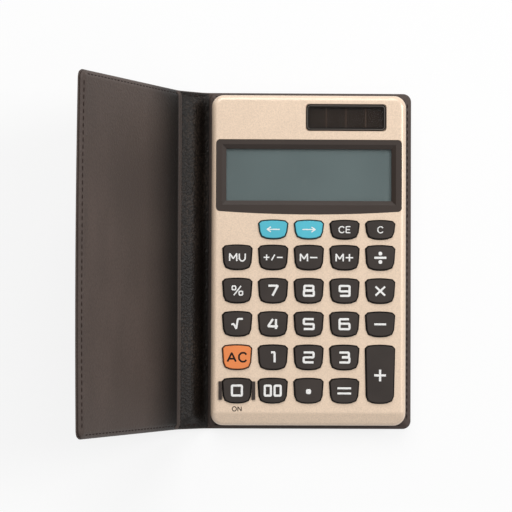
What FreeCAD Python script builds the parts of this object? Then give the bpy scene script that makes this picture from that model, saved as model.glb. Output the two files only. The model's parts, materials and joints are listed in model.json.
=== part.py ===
import FreeCAD
import Part
import Sketcher
import math
import os
from types import SimpleNamespace

# Pocket calculator in a folding leatherette wallet, with the front cover standing half open.
# Origin: middle of the wallet's back cover, at the surface that it rests on.
# +X points away from the spine, +Y to the display end, +Z up. Lengths are millimetres, angles degrees.

TINY = 1e-4
FULL_TURN = 360.0
# Where a quarter round's middle lies, in radii from its corner, and an octagon's half side in radii.
ROUND_MIDDLE = 1 - math.sqrt(0.5)
OCTAGON_HALF_SIDE = math.sqrt(2) - 1

SIZES = {
    # keypad: caps, the spaces round them, rims and the rubber mat under them
    "key_width": 10.0,
    "key_height": 8.7,
    "small_key_height": 6.6,
    "key_space_x": 3.0,
    "key_space_y": 3.4,
    "function_space": 2.55,
    "keypad_side": 4.5,
    "keypad_front": 8.4,
    "key_gap": 0.4,
    "key_lean": 0.19,
    "key_arch": 27.0,
    "key_bow": 15.0,
    "key_top_corner": 0.8,
    "key_foot_corner": 2.2,
    "key_edge": 0.3,
    "key_proud": 1.1,
    "flange_reach": 0.6,
    "flange_thickness": 0.7,
    "flange_play": 0.1,
    "stem_width": 3.0,
    "stem_length": 0.5,
    "mat_thickness": 0.5,
    "mat_rim": 0.2,
    "dome_radius": 2.4,
    "dome_play": 0.05,
    "guard_width": 1.25,
    "guard_length": 6.6,
    "guard_proud": 0.7,
    "guard_depth": 0.8,
    "guard_play": 0.05,
    # display: dark frame with sloped sides, clear lens, glass panel and its connector
    "display_gap": 3.4,
    "view_height": 18.9,
    "frame_top": 3.4,
    "frame_foot": 3.9,
    "frame_side": 3.75,
    "window_side": 1.6,
    "window_bow": 480.0,
    "window_corner": 1.5,
    "bezel_gap": 0.1,
    "bezel_sink": 0.2,
    "bezel_lip": 0.6,
    "bezel_lip_inset": 3.0,
    "bezel_slope": 1.6,
    "bezel_lip_thickness": 0.7,
    "lens_lip": 0.9,
    "lens_thickness": 0.55,
    "lens_play": 0.1,
    "glass_thickness": 0.75,
    "glass_margin_x": 1.85,
    "glass_margin_y": 1.8,
    "ledge_width": 2.5,
    "lcd_play": 0.1,
    "connector_inset": 1.15,
    "connector_width": 1.8,
    # solar cell under its window
    "solar_gap": 3.1,
    "solar_width": 29.6,
    "solar_height": 10.0,
    "solar_corner": 1.3,
    "solar_side": 7.2,
    "solar_margin": 3.15,
    "solar_ledge": 1.0,
    "solar_glue": 0.05,
    "solar_window_thickness": 0.8,
    "solar_window_sink": 0.1,
    "solar_window_play": 0.1,
    "solar_cell_overlap": 0.8,
    "solar_cell_thickness": 1.1,
    "lead_width": 1.2,
    "lead_thickness": 0.25,
    "lead_inset": 2.4,
    "lead_lap": 1.2,
    # calculator case: dark tray below, light shell above, joined by a lip
    "case_corner": 4.4,
    "base_height": 2.6,
    "base_floor": 1.0,
    "base_edge": 1.0,
    "top_height": 4.4,
    "top_wall": 1.3,
    "top_edge": 2.15,
    "bevel_run": 4.7,
    "bevel_drop": 2.2,
    "lip_height": 0.8,
    "lip_thickness": 0.6,
    "lip_gap": 0.1,
    "rib_width": 0.8,
    "rib_height": 0.5,
    "rib_spacing": 22.0,
    "rib_start": 22.5,
    # case screws and the posts that they hold together
    "post_radius": 1.5,
    "post_gap": 0.1,
    "front_post_back": 0.8,
    "screw_radius": 0.8,
    "screw_length": 4.2,
    "screw_head_radius": 1.4,
    "screw_head_height": 1.0,
    "screw_sink": 0.15,
    "screw_play": 0.05,
    "pilot_spare": 0.2,
    "base_post_wall": 0.5,
    # circuit board, held between the standoffs and the mat
    "standoff_height": 0.8,
    "standoff_width": 2.4,
    "standoff_inset": 4.3,
    "pcb_gap": 1.0,
    "pcb_front_gap": 4.6,
    "pcb_thickness": 0.8,
    "chip_radius": 5.0,
    "chip_height": 0.65,
    "chip_inset": 33.5,
    # button cell, its well and its two contacts
    "cell_side": 8.7,
    "cell_radius": 5.8,
    "cell_height": 3.05,
    "cell_cap_radius": 4.6,
    "cell_cap_height": 0.4,
    "cell_play": 0.2,
    "cell_gap": 0.25,
    "well_wall": 0.8,
    "well_height": 2.0,
    "well_gap": 0.45,
    "contact_thickness": 0.2,
    "contact_width": 3.0,
    "contact_lap": 1.2,
    "contact_play": 0.5,
    # tape between the wallet and the calculator
    "tape_inset": 10.0,
    "tape_thickness": 0.4,
    # wallet covers, their layers and how far they stand open
    "cover_overhang": 1.5,
    "cover_margin": 2.5,
    "closing_gap": 0.5,
    "skin_thickness": 0.6,
    "board_thickness": 0.9,
    "lining_thickness": 0.5,
    "cover_corner": 3.0,
    "crease_gap": 0.05,
    "crease_margin": 1.5,
    "lining_trim": 0.3,
    "lining_edge": 0.35,
    "sewn_margin": 2.4,
    "board_play": 0.05,
    "card_gap": 0.2,
    "hem_width": 2.2,
    "hem_height": 0.3,
    "spine_rest_angle": 40.0,
    "front_rest_angle": 65.0,
}

DOC = FreeCAD.newDocument("WalletCalculator")
SHEET = DOC.addObject("Spreadsheet::Sheet", "Sizes")
for line, (alias, number) in enumerate(SIZES.items(), 1):
    SHEET.set("A%d" % line, str(number))
    SHEET.setAlias("A%d" % line, alias)
DOC.recompute()


class Size:
    """A number together with the sheet formula that gives it."""

    def __init__(self, value, formula):
        self.value = value
        self.formula = formula

    def __add__(self, other):
        other = as_size(other)
        return Size(self.value + other.value, "(%s + %s)" % (self.formula, other.formula))

    def __sub__(self, other):
        other = as_size(other)
        return Size(self.value - other.value, "(%s - %s)" % (self.formula, other.formula))

    def __mul__(self, other):
        other = as_size(other)
        return Size(self.value * other.value, "(%s * %s)" % (self.formula, other.formula))

    def __truediv__(self, other):
        other = as_size(other)
        return Size(self.value / other.value, "(%s / %s)" % (self.formula, other.formula))

    def __neg__(self):
        return Size(-self.value, "(0 - %s)" % self.formula)


def as_size(thing):
    """A plain number becomes a constant formula; a Size stays itself."""
    if isinstance(thing, Size):
        return thing
    return Size(float(thing), "(%r)" % float(thing))


def cosine(angle):
    return Size(math.cos(math.radians(angle.value)), "cos(%s * 1 deg)" % angle.formula)


def sine(angle):
    return Size(math.sin(math.radians(angle.value)), "sin(%s * 1 deg)" % angle.formula)


def root(size):
    return Size(math.sqrt(size.value), "sqrt(%s)" % size.formula)


def bulge(radius, half_chord):
    """How far an arc stands out beyond its chord."""
    return radius - root(radius * radius - half_chord * half_chord)


ZERO = as_size(0)
d = SimpleNamespace(**{alias: Size(float(SHEET.get(alias)), "Sizes." + alias) for alias in SIZES})

COLUMNS = 5
ROWS = 6
FULL_COLUMNS = 4
MIDDLE_COLUMN = 3

# Sizes that follow from others: the keypad sets the case's width, keypad and display its length.
KEY_PITCH_X = d.key_width + d.key_space_x
KEY_PITCH_Y = d.key_height + d.key_space_y
FUNCTION_STEP = (d.key_height + d.small_key_height) / 2 + d.function_space
CASE_WIDTH = KEY_PITCH_X * (COLUMNS - 1) + d.key_width + d.keypad_side * 2
WINDOW_WIDTH = CASE_WIDTH - d.window_side * 2
VIEW_WIDTH = WINDOW_WIDTH - d.frame_side * 2
WINDOW_HEIGHT = d.frame_top + d.view_height + d.frame_foot
WINDOW_MARGIN = d.solar_margin + d.solar_height + d.solar_gap
KEYPAD_LENGTH = d.key_height / 2 + KEY_PITCH_Y * (ROWS - 2) + FUNCTION_STEP + d.small_key_height / 2
CASE_LENGTH = d.keypad_front + KEYPAD_LENGTH + d.display_gap + WINDOW_HEIGHT + WINDOW_MARGIN
COVER_LENGTH = CASE_LENGTH + d.cover_overhang * 2
COVER_WIDTH = CASE_WIDTH + d.cover_margin * 2
BASE_WALL = d.top_wall + d.lip_gap + d.lip_thickness
POST_ROOM = d.case_corner - BASE_WALL - d.post_gap - d.post_radius
POST_INSET = d.case_corner - POST_ROOM * math.sqrt(0.5)
BASE_POST_RADIUS = d.screw_head_radius + d.screw_play + d.base_post_wall
WELL_RADIUS = d.cell_radius + d.cell_play + d.well_wall

# Levels above the resting surface, from the wallet up through the calculator.
ROLL = d.skin_thickness / 2
CALC_Z = d.skin_thickness + d.board_thickness + d.lining_thickness + d.tape_thickness
PARTING_Z = CALC_Z + d.base_height
CASE_TOP_Z = PARTING_Z + d.top_height
KEY_TOP_Z = CASE_TOP_Z + d.key_proud
CEILING_Z = CASE_TOP_Z - d.top_wall
FLOOR_Z = CALC_Z + d.base_floor
PCB_Z = FLOOR_Z + d.standoff_height
PCB_TOP_Z = PCB_Z + d.pcb_thickness
MAT_TOP_Z = PCB_TOP_Z + d.mat_thickness
FLANGE_TOP_Z = CEILING_Z - d.flange_play
STEM_FOOT_Z = FLANGE_TOP_Z - d.flange_thickness - d.stem_length
BEZEL_Z = CEILING_Z - d.flange_play - d.bezel_lip_thickness
LCD_TOP_Z = BEZEL_Z - d.lcd_play
CELL_Z = FLOOR_Z + d.contact_thickness

# Places in the plan.
HALF_WIDTH = CASE_WIDTH / 2
HALF_LENGTH = CASE_LENGTH / 2
WINDOW_TOP_Y = HALF_LENGTH - WINDOW_MARGIN
VIEW_Y = WINDOW_TOP_Y - d.frame_top - d.view_height / 2
SOLAR_X = HALF_WIDTH - d.solar_side - d.solar_width / 2
SOLAR_Y = HALF_LENGTH - d.solar_margin - d.solar_height / 2
CELL_X = d.cell_side + WELL_RADIUS - HALF_WIDTH
CELL_Y = HALF_LENGTH - BASE_WALL - d.well_gap - WELL_RADIUS
PCB_HALF_WIDTH = HALF_WIDTH - BASE_WALL - d.pcb_gap
PCB_BACK_Y = CELL_Y - WELL_RADIUS - d.cell_gap
PCB_FRONT_Y = BASE_WALL + d.pcb_front_gap - HALF_LENGTH

# The spine is as wide as the closed covers stand apart.
SPINE_WIDTH = KEY_TOP_Z + d.closing_gap + d.board_thickness + d.card_gap + d.lining_thickness
CREASE_X = -COVER_WIDTH / 2
FRONT_X = CREASE_X - SPINE_WIDTH * cosine(d.spine_rest_angle)
FRONT_Z = ROLL + SPINE_WIDTH * sine(d.spine_rest_angle)


def column_x(column):
    """Centre of a key column, counted from 1 at the spine side."""
    return KEY_PITCH_X * (column - MIDDLE_COLUMN)


def row_y(row):
    """Centre of a key row, counted from 1 at the display; row 1 holds the small keys."""
    if row == 1:
        return row_y(2) + FUNCTION_STEP
    return d.keypad_front + d.key_height / 2 - HALF_LENGTH + KEY_PITCH_Y * (ROWS - row)


TALL_KEY_Y = (row_y(5) + row_y(6)) / 2
TALL_KEY_HEIGHT = d.key_height + KEY_PITCH_Y

CASE_POSTS = [
    (x, y)
    for x in (POST_INSET - HALF_WIDTH, HALF_WIDTH - POST_INSET)
    for y in (HALF_LENGTH - POST_INSET, d.bevel_run + d.front_post_back - HALF_LENGTH)
]

SUBPARTS = []


def subpart(thing):
    """Marks a finished object as one of the pieces that are written out."""
    SUBPARTS.append(thing)
    return thing


def new_body(label):
    body = DOC.addObject("PartDesign::Body", label)
    body.Label = label
    return body


def place(thing, x=ZERO, y=ZERO, z=ZERO):
    for axis, value in zip("xyz", (x, y, z)):
        thing.setExpression("Placement.Base." + axis, value.formula)


def tilt(thing, angle):
    """Turns a piece about the crease direction."""
    turn = FreeCAD.Rotation(FreeCAD.Vector(0, 1, 0), angle.value)
    thing.Placement = FreeCAD.Placement(FreeCAD.Vector(), turn)
    thing.setExpression("Placement.Rotation.Angle", angle.formula)


def origin_part(body, role):
    return [feature for feature in body.Origin.OriginFeatures if feature.Role == role][0]


def new_sketch(body, plane, x=ZERO, y=ZERO, z=ZERO):
    """A sketch on one of the body's origin planes, moved by x and y in the plane and z along its normal."""
    sketch = body.newObject("Sketcher::SketchObject", "Sketch")
    sketch.AttachmentSupport = (origin_part(body, plane), [""])
    sketch.MapMode = "FlatFace"
    for axis, value in zip("xyz", (x, y, z)):
        sketch.setExpression("AttachmentOffset.Base." + axis, value.formula)
    return sketch


def constrain(sketch, rules):
    """Adds constraints in one go; a rule that ends in a Size has its measure tied to the sheet."""
    first = sketch.ConstraintCount
    plain = [[term.value if isinstance(term, Size) else term for term in rule] for rule in rules]
    sketch.addConstraint([Sketcher.Constraint(*rule) for rule in plain])
    for index, rule in enumerate(rules, first):
        if isinstance(rule[-1], Size):
            sketch.setExpression("Constraints[%d]" % index, rule[-1].formula)


def pin(geometry, end, x, y):
    """Rules that fix a point of the sketch at x, y."""
    rules = []
    for kind, axis, value in (("DistanceX", -2, x), ("DistanceY", -1, y)):
        if abs(value.value) < TINY:
            rules.append(("PointOnObject", geometry, end, axis))
        else:
            rules.append((kind, -1, 1, geometry, end, value))
    return rules


def flat(x, y):
    return FreeCAD.Vector(x, y, 0)


def arc_between(centre, start, end):
    """Anticlockwise arc about a centre."""
    first = math.atan2(start.y - centre.y, start.x - centre.x)
    last = math.atan2(end.y - centre.y, end.x - centre.x)
    if last < first:
        last += 2 * math.pi
    circle = Part.Circle(centre, FreeCAD.Vector(0, 0, 1), start.distanceToPoint(centre))
    return Part.ArcOfCircle(circle, first, last)


def polygon(sketch, corners, bulges=None):
    """Closed outline, anticlockwise. bulges gives a side's number the radius that it bows outwards with."""
    bulges = bulges or {}
    corners = [(as_size(x), as_size(y)) for x, y in corners]
    base = sketch.GeometryCount
    count = len(corners)
    points = [flat(x.value, y.value) for x, y in corners]
    for side in range(count):
        start, end = points[side], points[(side + 1) % count]
        if side not in bulges:
            sketch.addGeometry(Part.LineSegment(start, end))
            continue
        along = end.sub(start)
        inward = flat(-along.y, along.x) / along.Length
        rise = math.sqrt(bulges[side].value ** 2 - (along.Length / 2) ** 2)
        sketch.addGeometry(arc_between(start + along / 2 + inward * rise, start, end))
    rules = [("Coincident", base + side, 2, base + (side + 1) % count, 1) for side in range(count)]
    for side in range(count):
        rules += pin(base + side, 1, *corners[side])
    rules += [("Radius", base + side, radius) for side, radius in bulges.items()]
    constrain(sketch, rules)


def rectangle(sketch, x_low, x_high, y_low, y_high):
    polygon(sketch, [(x_low, y_low), (x_high, y_low), (x_high, y_high), (x_low, y_high)])


def rounded_rectangle(sketch, half_width, half_height, radius):
    """Rectangle about the sketch's origin with four equal round corners."""
    base = sketch.GeometryCount
    w, h, r = half_width.value, half_height.value, radius.value
    centres = [flat(w - r, r - h), flat(w - r, h - r), flat(r - w, h - r), flat(r - w, r - h)]
    steps = [flat(0, -r), flat(r, 0), flat(0, r), flat(-r, 0)]
    for corner in range(4):
        before = centres[corner - 1] + steps[corner]
        start = centres[corner] + steps[corner]
        end = centres[corner] + steps[(corner + 1) % 4]
        sketch.addGeometry(Part.LineSegment(before, start))
        sketch.addGeometry(arc_between(centres[corner], start, end))
    rules = [("Tangent", base + edge, 2, base + (edge + 1) % 8, 1) for edge in range(8)]
    rules += [("Horizontal", base), ("Vertical", base + 2), ("Horizontal", base + 4), ("Vertical", base + 6)]
    rules += [("Equal", base + 1, base + edge) for edge in (3, 5, 7)]
    rules += [
        ("DistanceY", -1, 1, base, 1, -half_height),
        ("DistanceX", -1, 1, base + 2, 1, half_width),
        ("DistanceY", -1, 1, base + 4, 1, half_height),
        ("DistanceX", -1, 1, base + 6, 1, -half_width),
        ("Radius", base + 1, radius),
    ]
    constrain(sketch, rules)


def key_outline(sketch, width, height, grow=ZERO):
    """Key shape about the sketch's origin: arched top, sides leaning in downwards, bowed foot.

    Its rounds are drawn with a chord or two each, because there are so many of them.
    """
    foot_x, top_x = width / 2 - d.key_lean + grow, width / 2 + d.key_lean + grow
    bow, arch = d.key_bow + grow, d.key_arch + grow
    foot_round = d.key_foot_corner + grow
    top_round = d.key_top_corner + grow * (2 - math.sqrt(2))
    foot_y = -height / 2 - grow + bulge(bow, foot_x - foot_round)
    top_y = height / 2 + grow - bulge(arch, top_x - top_round)
    right = [
        (foot_x - foot_round, foot_y),
        (foot_x - foot_round * ROUND_MIDDLE, foot_y + foot_round * ROUND_MIDDLE),
        (foot_x, foot_y + foot_round),
        (top_x, top_y - top_round),
        (top_x - top_round, top_y),
    ]
    left = [(-x, y) for x, y in reversed(right)]
    polygon(sketch, right + left, {len(right) - 1: arch, 2 * len(right) - 1: bow})


def eight_sided(sketch, x, y, radius):
    """Octagon with flats at a radius, used for small round forms that repeat."""
    half_side = radius * OCTAGON_HALF_SIDE
    corners = [(radius, -half_side), (radius, half_side), (half_side, radius), (-half_side, radius)]
    corners += [(-corner_x, -corner_y) for corner_x, corner_y in corners]
    polygon(sketch, [(x + corner_x, y + corner_y) for corner_x, corner_y in corners])


def pad(body, sketch, length, down=False, middle=False):
    feature = body.newObject("PartDesign::Pad", "Pad")
    feature.Profile = sketch
    feature.setExpression("Length", length.formula)
    feature.Reversed = down
    feature.Midplane = middle
    return feature


def pocket(body, sketch, depth=None, up=False, middle=False):
    """Cut along the sketch's normal, downwards unless up is set; without a depth it goes right through."""
    feature = body.newObject("PartDesign::Pocket", "Pocket")
    feature.Profile = sketch
    feature.Reversed = up
    feature.Midplane = middle
    if depth is None:
        feature.Type = "ThroughAll"
    else:
        feature.setExpression("Length", depth.formula)
    return feature


def revolution(body, sketch):
    feature = body.newObject("PartDesign::Revolution", "Revolution")
    feature.Profile = sketch
    feature.ReferenceAxis = (sketch, ["V_Axis"])
    feature.Angle = FULL_TURN
    return feature


def round_edges(body, base, names, radius):
    feature = body.newObject("PartDesign::Fillet", "Fillet")
    feature.Base = (base, names)
    feature.setExpression("Radius", radius.formula)
    return feature


def bevel_edges(body, base, names, reach):
    feature = body.newObject("PartDesign::Chamfer", "Chamfer")
    feature.Base = (base, names)
    feature.setExpression("Size", reach.formula)
    return feature


def repeat(body, feature, across=None, along=None):
    """Copies a feature in rows and columns; across and along are (count, spacing) in X and Y."""
    pattern = body.newObject("PartDesign::LinearPattern", "LinearPattern")
    pattern.Originals = [feature]
    steps = [("X_Axis", across), ("Y_Axis", along)]
    used = [(role, step) for role, step in steps if step]
    for suffix, (role, (count, spacing)) in zip(("", "2"), used):
        setattr(pattern, "Direction" + suffix, (origin_part(body, role), [""]))
        setattr(pattern, "Mode" + suffix, "Extent")
        setattr(pattern, "Occurrences" + suffix, count)
        pattern.setExpression("Length" + suffix, (spacing * (count - 1)).formula)
    body.Tip = pattern
    return pattern


def edge_names(feature, wanted):
    """Names of the edges whose two ends pass a test."""
    DOC.recompute()
    names = []
    for index, edge in enumerate(feature.Shape.Edges, 1):
        if wanted(edge.firstVertex().Point, edge.lastVertex().Point):
            names.append("Edge%d" % index)
    return names


def upright(first, last):
    return abs(first.x - last.x) < TINY and abs(first.y - last.y) < TINY


def face_name(feature, highest):
    """Name of the highest or lowest face."""
    DOC.recompute()
    heights = [face.CenterOfMass.z for face in feature.Shape.Faces]
    wanted = max(heights) if highest else min(heights)
    return "Face%d" % (heights.index(wanted) + 1)


def box(label, x_middle, y_middle, z, width, length, height):
    """Plain block that stands on z, about a middle in the plan."""
    block = DOC.addObject("Part::Box", label)
    block.Label = label
    for name, value in (("Length", width), ("Width", length), ("Height", height)):
        block.setExpression(name, value.formula)
    place(block, x_middle - width / 2, y_middle - length / 2, z)
    return block


def group(label, members):
    """Separate like solids that are kept together."""
    compound = DOC.addObject("Part::Compound", label)
    compound.Label = label
    compound.Links = members
    return compound


# Wallet

def cover_sheet(label, near, far, half_length, z, thickness, corner):
    """Flat layer from near its crease to its free edge, with the two free corners rounded."""
    body = new_body(label)
    sketch = new_sketch(body, "XY_Plane", z=z)
    rectangle(sketch, near, far, -half_length, half_length)
    sheet = pad(body, sketch, thickness)

    def free_corner(first, last):
        return upright(first, last) and abs(first.x - far.value) < TINY

    round_edges(body, sheet, edge_names(sheet, free_corner), corner)
    return body


def cover(name, side, width, inner_label, card_gap):
    """Skin, board and inner sheet of one cover; side is 1 away from the crease in +X, -1 in -X."""
    side = as_size(side)
    half = COVER_LENGTH / 2
    skin = cover_sheet(name + "_skin", side * (ROLL + d.crease_gap), side * width, half, -ROLL,
                       d.skin_thickness, d.cover_corner)
    board_near = d.crease_margin + d.sewn_margin
    board_far = width - d.sewn_margin
    board_half = half - d.sewn_margin
    board = cover_sheet(name + "_board", side * board_near, side * board_far, board_half, ROLL,
                        d.board_thickness, d.cover_corner)
    inner = cover_sheet(inner_label, side * d.crease_margin, side * (width - d.lining_trim),
                        half - d.lining_trim, ROLL, d.board_thickness + card_gap + d.lining_thickness,
                        d.cover_corner - d.lining_trim)
    bevel_edges(inner, inner.Tip, [face_name(inner.Tip, True)], d.lining_edge)
    recess = new_sketch(inner, "XY_Plane", z=ROLL)
    inner_end = board_near - d.board_play
    if card_gap.value > 0:
        inner_end = ZERO
    outer_end = board_far + d.board_play
    reach = board_half + d.board_play
    rectangle(recess, side * inner_end, side * outer_end, -reach, reach)
    pocket(inner, recess, d.board_thickness + card_gap, up=True)
    return skin, board, inner


def back_cover():
    for body in cover("back_cover", 1, COVER_WIDTH, "back_cover_lining", ZERO):
        place(body, CREASE_X, ZERO, ROLL)
        subpart(body)


def front_cover():
    """The flap: its inner sheet is a card pocket, open along the hem beside the spine."""
    skin, board, inner = cover("front_cover", -1, COVER_WIDTH, "front_cover_pocket", d.card_gap)
    top = ROLL + d.board_thickness + d.card_gap + d.lining_thickness
    hem = new_sketch(inner, "XY_Plane", z=top)
    half = COVER_LENGTH / 2 - d.lining_trim - d.lining_edge
    near = d.crease_margin + d.lining_edge
    rectangle(hem, -near - d.hem_width, -near, -half, half)
    pad(inner, hem, d.hem_height)
    for body in (skin, board, inner):
        tilt(body, d.front_rest_angle)
        place(body, FRONT_X, ZERO, FRONT_Z)
        subpart(body)


def spine():
    """Narrow strip between the covers; its skin rolls over at both creases."""
    skin = new_body("spine_skin")
    profile = new_sketch(skin, "XZ_Plane")
    length, r = SPINE_WIDTH.value, ROLL.value
    far = flat(-length, 0)
    profile.addGeometry(Part.LineSegment(flat(-length, -r), flat(0, -r)))
    profile.addGeometry(arc_between(flat(0, 0), flat(0, -r), flat(0, r)))
    profile.addGeometry(Part.LineSegment(flat(0, r), flat(-length, r)))
    profile.addGeometry(arc_between(far, flat(-length, r), flat(-length, -r)))
    rules = [("Tangent", edge, 2, (edge + 1) % 4, 1) for edge in range(4)]
    rules += [("Coincident", 1, 3, -1, 1), ("Radius", 1, ROLL)]
    constrain(profile, rules + pin(3, 3, -SPINE_WIDTH, ZERO))
    pad(skin, profile, COVER_LENGTH, middle=True)
    lining = new_body("spine_lining")
    strip = new_sketch(lining, "XY_Plane", z=ROLL)
    half = COVER_LENGTH / 2 - d.lining_trim
    rectangle(strip, d.crease_margin - SPINE_WIDTH, -d.crease_margin, -half, half)
    pad(lining, strip, d.lining_thickness)
    for body in (skin, lining):
        tilt(body, d.spine_rest_angle)
        place(body, CREASE_X, ZERO, ROLL)
        subpart(body)


# Calculator case

def case_outline(sketch, inset=ZERO):
    rounded_rectangle(sketch, HALF_WIDTH - inset, HALF_LENGTH - inset, d.case_corner - inset)


def posts_at(sketch, radius):
    for x, y in CASE_POSTS:
        eight_sided(sketch, x, y, radius)


def bottom_case():
    """Dark tray with its lip, screw posts, board standoffs, floor ribs and battery well."""
    body = new_body("bottom_case")
    outline = new_sketch(body, "XY_Plane")
    case_outline(outline)
    block = pad(body, outline, d.base_height)
    bevel_edges(body, block, [face_name(block, False)], d.base_edge)
    hollow = new_sketch(body, "XY_Plane", z=d.base_height)
    case_outline(hollow, BASE_WALL)
    pocket(body, hollow, d.base_height - d.base_floor)

    lip = new_sketch(body, "XY_Plane", z=d.base_height)
    case_outline(lip, d.top_wall + d.lip_gap)
    case_outline(lip, BASE_WALL)
    pad(body, lip, d.lip_height)

    rib = new_sketch(body, "XY_Plane", y=d.rib_start - HALF_LENGTH, z=d.base_floor)
    rib_half = HALF_WIDTH - BASE_WALL
    rectangle(rib, -rib_half, rib_half, -d.rib_width / 2, d.rib_width / 2)
    repeat(body, pad(body, rib, d.rib_height), along=(3, d.rib_spacing))

    posts = new_sketch(body, "XY_Plane", z=d.base_floor)
    posts_at(posts, BASE_POST_RADIUS)
    pad(body, posts, d.base_height - d.base_floor)
    head_recess = new_sketch(body, "XY_Plane")
    posts_at(head_recess, d.screw_head_radius + d.screw_play)
    pocket(body, head_recess, d.screw_sink + d.screw_head_height, up=True)
    holes = new_sketch(body, "XY_Plane")
    posts_at(holes, d.screw_radius + d.screw_play)
    pocket(body, holes, d.base_height, up=True)

    standoffs = new_sketch(body, "XY_Plane", z=d.base_floor)
    far = PCB_HALF_WIDTH - d.standoff_inset
    near = far - d.standoff_width
    inner_reach = d.standoff_inset + d.standoff_width
    for low_y in (PCB_FRONT_Y + inner_reach, row_y(1), PCB_BACK_Y - inner_reach):
        rectangle(standoffs, near, far, low_y, low_y + d.standoff_width)
        rectangle(standoffs, -far, -near, low_y, low_y + d.standoff_width)
    pad(body, standoffs, d.standoff_height)

    well = new_sketch(body, "XY_Plane", z=d.base_floor)
    eight_sided(well, CELL_X, CELL_Y, WELL_RADIUS)
    eight_sided(well, CELL_X, CELL_Y, WELL_RADIUS - d.well_wall)
    pad(body, well, d.well_height)
    gate = new_sketch(body, "XY_Plane", CELL_X, CELL_Y, d.base_floor)
    gate_half = d.contact_width / 2 + d.contact_play
    rectangle(gate, -gate_half, gate_half, -WELL_RADIUS - d.contact_play, ZERO)
    pocket(body, gate, d.well_height, up=True)
    place(body, z=CALC_Z)
    subpart(body)


def window_outline(sketch, inset):
    """Display opening: straight sides and top, foot bowed towards the keys."""
    half = WINDOW_WIDTH / 2 - inset
    foot = WINDOW_TOP_Y - WINDOW_HEIGHT + inset
    top = WINDOW_TOP_Y - inset
    polygon(sketch, [(-half, foot), (half, foot), (half, top), (-half, top)], {0: d.window_bow})


def top_shell(body):
    """Outer form of the top case: rounded edges, a wide bevel at the front, hollow from below."""
    outline = new_sketch(body, "XY_Plane")
    case_outline(outline)
    pad(body, outline, d.top_height)
    slope = new_sketch(body, "YZ_Plane")
    over = d.top_wall
    fall = over * (d.bevel_drop / d.bevel_run)
    polygon(slope, [
        (-HALF_LENGTH - over, d.top_height - d.bevel_drop - fall),
        (d.bevel_run - HALF_LENGTH, d.top_height),
        (d.bevel_run - HALF_LENGTH, d.top_height + over),
        (-HALF_LENGTH - over, d.top_height + over),
    ])
    bevel = pocket(body, slope, middle=True)
    lowest = d.top_height.value - d.bevel_drop.value - TINY

    def upper(first, last):
        return min(first.z, last.z) > lowest

    round_edges(body, bevel, edge_names(bevel, upper), d.top_edge)
    lip_room = new_sketch(body, "XY_Plane")
    case_outline(lip_room, d.top_wall)
    pocket(body, lip_room, d.lip_height + d.lip_gap, up=True)
    room = new_sketch(body, "XY_Plane", y=(d.bevel_run - d.top_wall) / 2)
    room_half_length = HALF_LENGTH - (d.bevel_run + d.top_wall) / 2
    rounded_rectangle(room, HALF_WIDTH - d.top_wall, room_half_length, d.case_corner - d.top_wall)
    pocket(body, room, d.top_height - d.top_wall, up=True)


def key_openings(body):
    """Openings for the keys: four columns of five, three at the right, the tall key and the small row."""
    opening_places = (
        (1, row_y(ROWS), d.key_height, (FULL_COLUMNS, KEY_PITCH_X), (ROWS - 1, KEY_PITCH_Y)),
        (COLUMNS, row_y(4), d.key_height, None, (3, KEY_PITCH_Y)),
        (2, row_y(1), d.small_key_height, (FULL_COLUMNS, KEY_PITCH_X), None),
        (COLUMNS, TALL_KEY_Y, TALL_KEY_HEIGHT, None, None),
    )
    for column, y, height, across, along in opening_places:
        sketch = new_sketch(body, "XY_Plane", column_x(column), y, d.top_height)
        key_outline(sketch, d.key_width, height, d.key_gap)
        cut = pocket(body, sketch)
        if across or along:
            repeat(body, cut, across, along)


def top_case():
    """Light shell with its openings, guard slots and posts."""
    body = new_body("top_case")
    top_shell(body)
    window = new_sketch(body, "XY_Plane", z=d.top_height)
    window_outline(window, ZERO)
    opening = pocket(body, window)
    half = WINDOW_WIDTH.value / 2

    def window_corner(first, last):
        inside = first.y > WINDOW_TOP_Y.value - WINDOW_HEIGHT.value - TINY
        inside = inside and first.y < WINDOW_TOP_Y.value + TINY
        return upright(first, last) and inside and abs(abs(first.x) - half) < TINY

    round_edges(body, opening, edge_names(opening, window_corner), d.window_corner)
    solar_seat = new_sketch(body, "XY_Plane", SOLAR_X, SOLAR_Y, d.top_height)
    rounded_rectangle(solar_seat, d.solar_width / 2, d.solar_height / 2, d.solar_corner)
    pocket(body, solar_seat, d.solar_window_thickness + d.solar_window_sink)
    solar_hole = new_sketch(body, "XY_Plane", SOLAR_X, SOLAR_Y, d.top_height)
    hole_width = d.solar_width / 2 - d.solar_ledge
    hole_height = d.solar_height / 2 - d.solar_ledge
    rectangle(solar_hole, -hole_width, hole_width, -hole_height, hole_height)
    pocket(body, solar_hole)
    key_openings(body)
    slots = new_sketch(body, "XY_Plane", column_x(1), row_y(ROWS), d.top_height)
    near = d.key_width / 2 + d.key_gap
    far = near + d.guard_width + d.guard_play
    reach = d.guard_length / 2 + d.guard_play
    rectangle(slots, -far, -near + d.key_gap / 2, -reach, reach)
    rectangle(slots, near - d.key_gap / 2, far, -reach, reach)
    pocket(body, slots, d.guard_depth)

    posts = new_sketch(body, "XY_Plane")
    posts_at(posts, d.post_radius)
    pad(body, posts, d.top_height - d.top_wall)
    pilots = new_sketch(body, "XY_Plane")
    posts_at(pilots, d.screw_radius + d.screw_play)
    bite = d.screw_sink + d.screw_head_height + d.screw_length - d.base_height
    pocket(body, pilots, bite + d.pilot_spare, up=True)
    place(body, z=PARTING_Z)
    subpart(body)


def mounting_tape():
    width = CASE_WIDTH - d.tape_inset * 2
    length = CASE_LENGTH - d.tape_inset * 2
    subpart(box("mounting_tape", ZERO, ZERO, CALC_Z - d.tape_thickness, width, length, d.tape_thickness))


# Display

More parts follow.
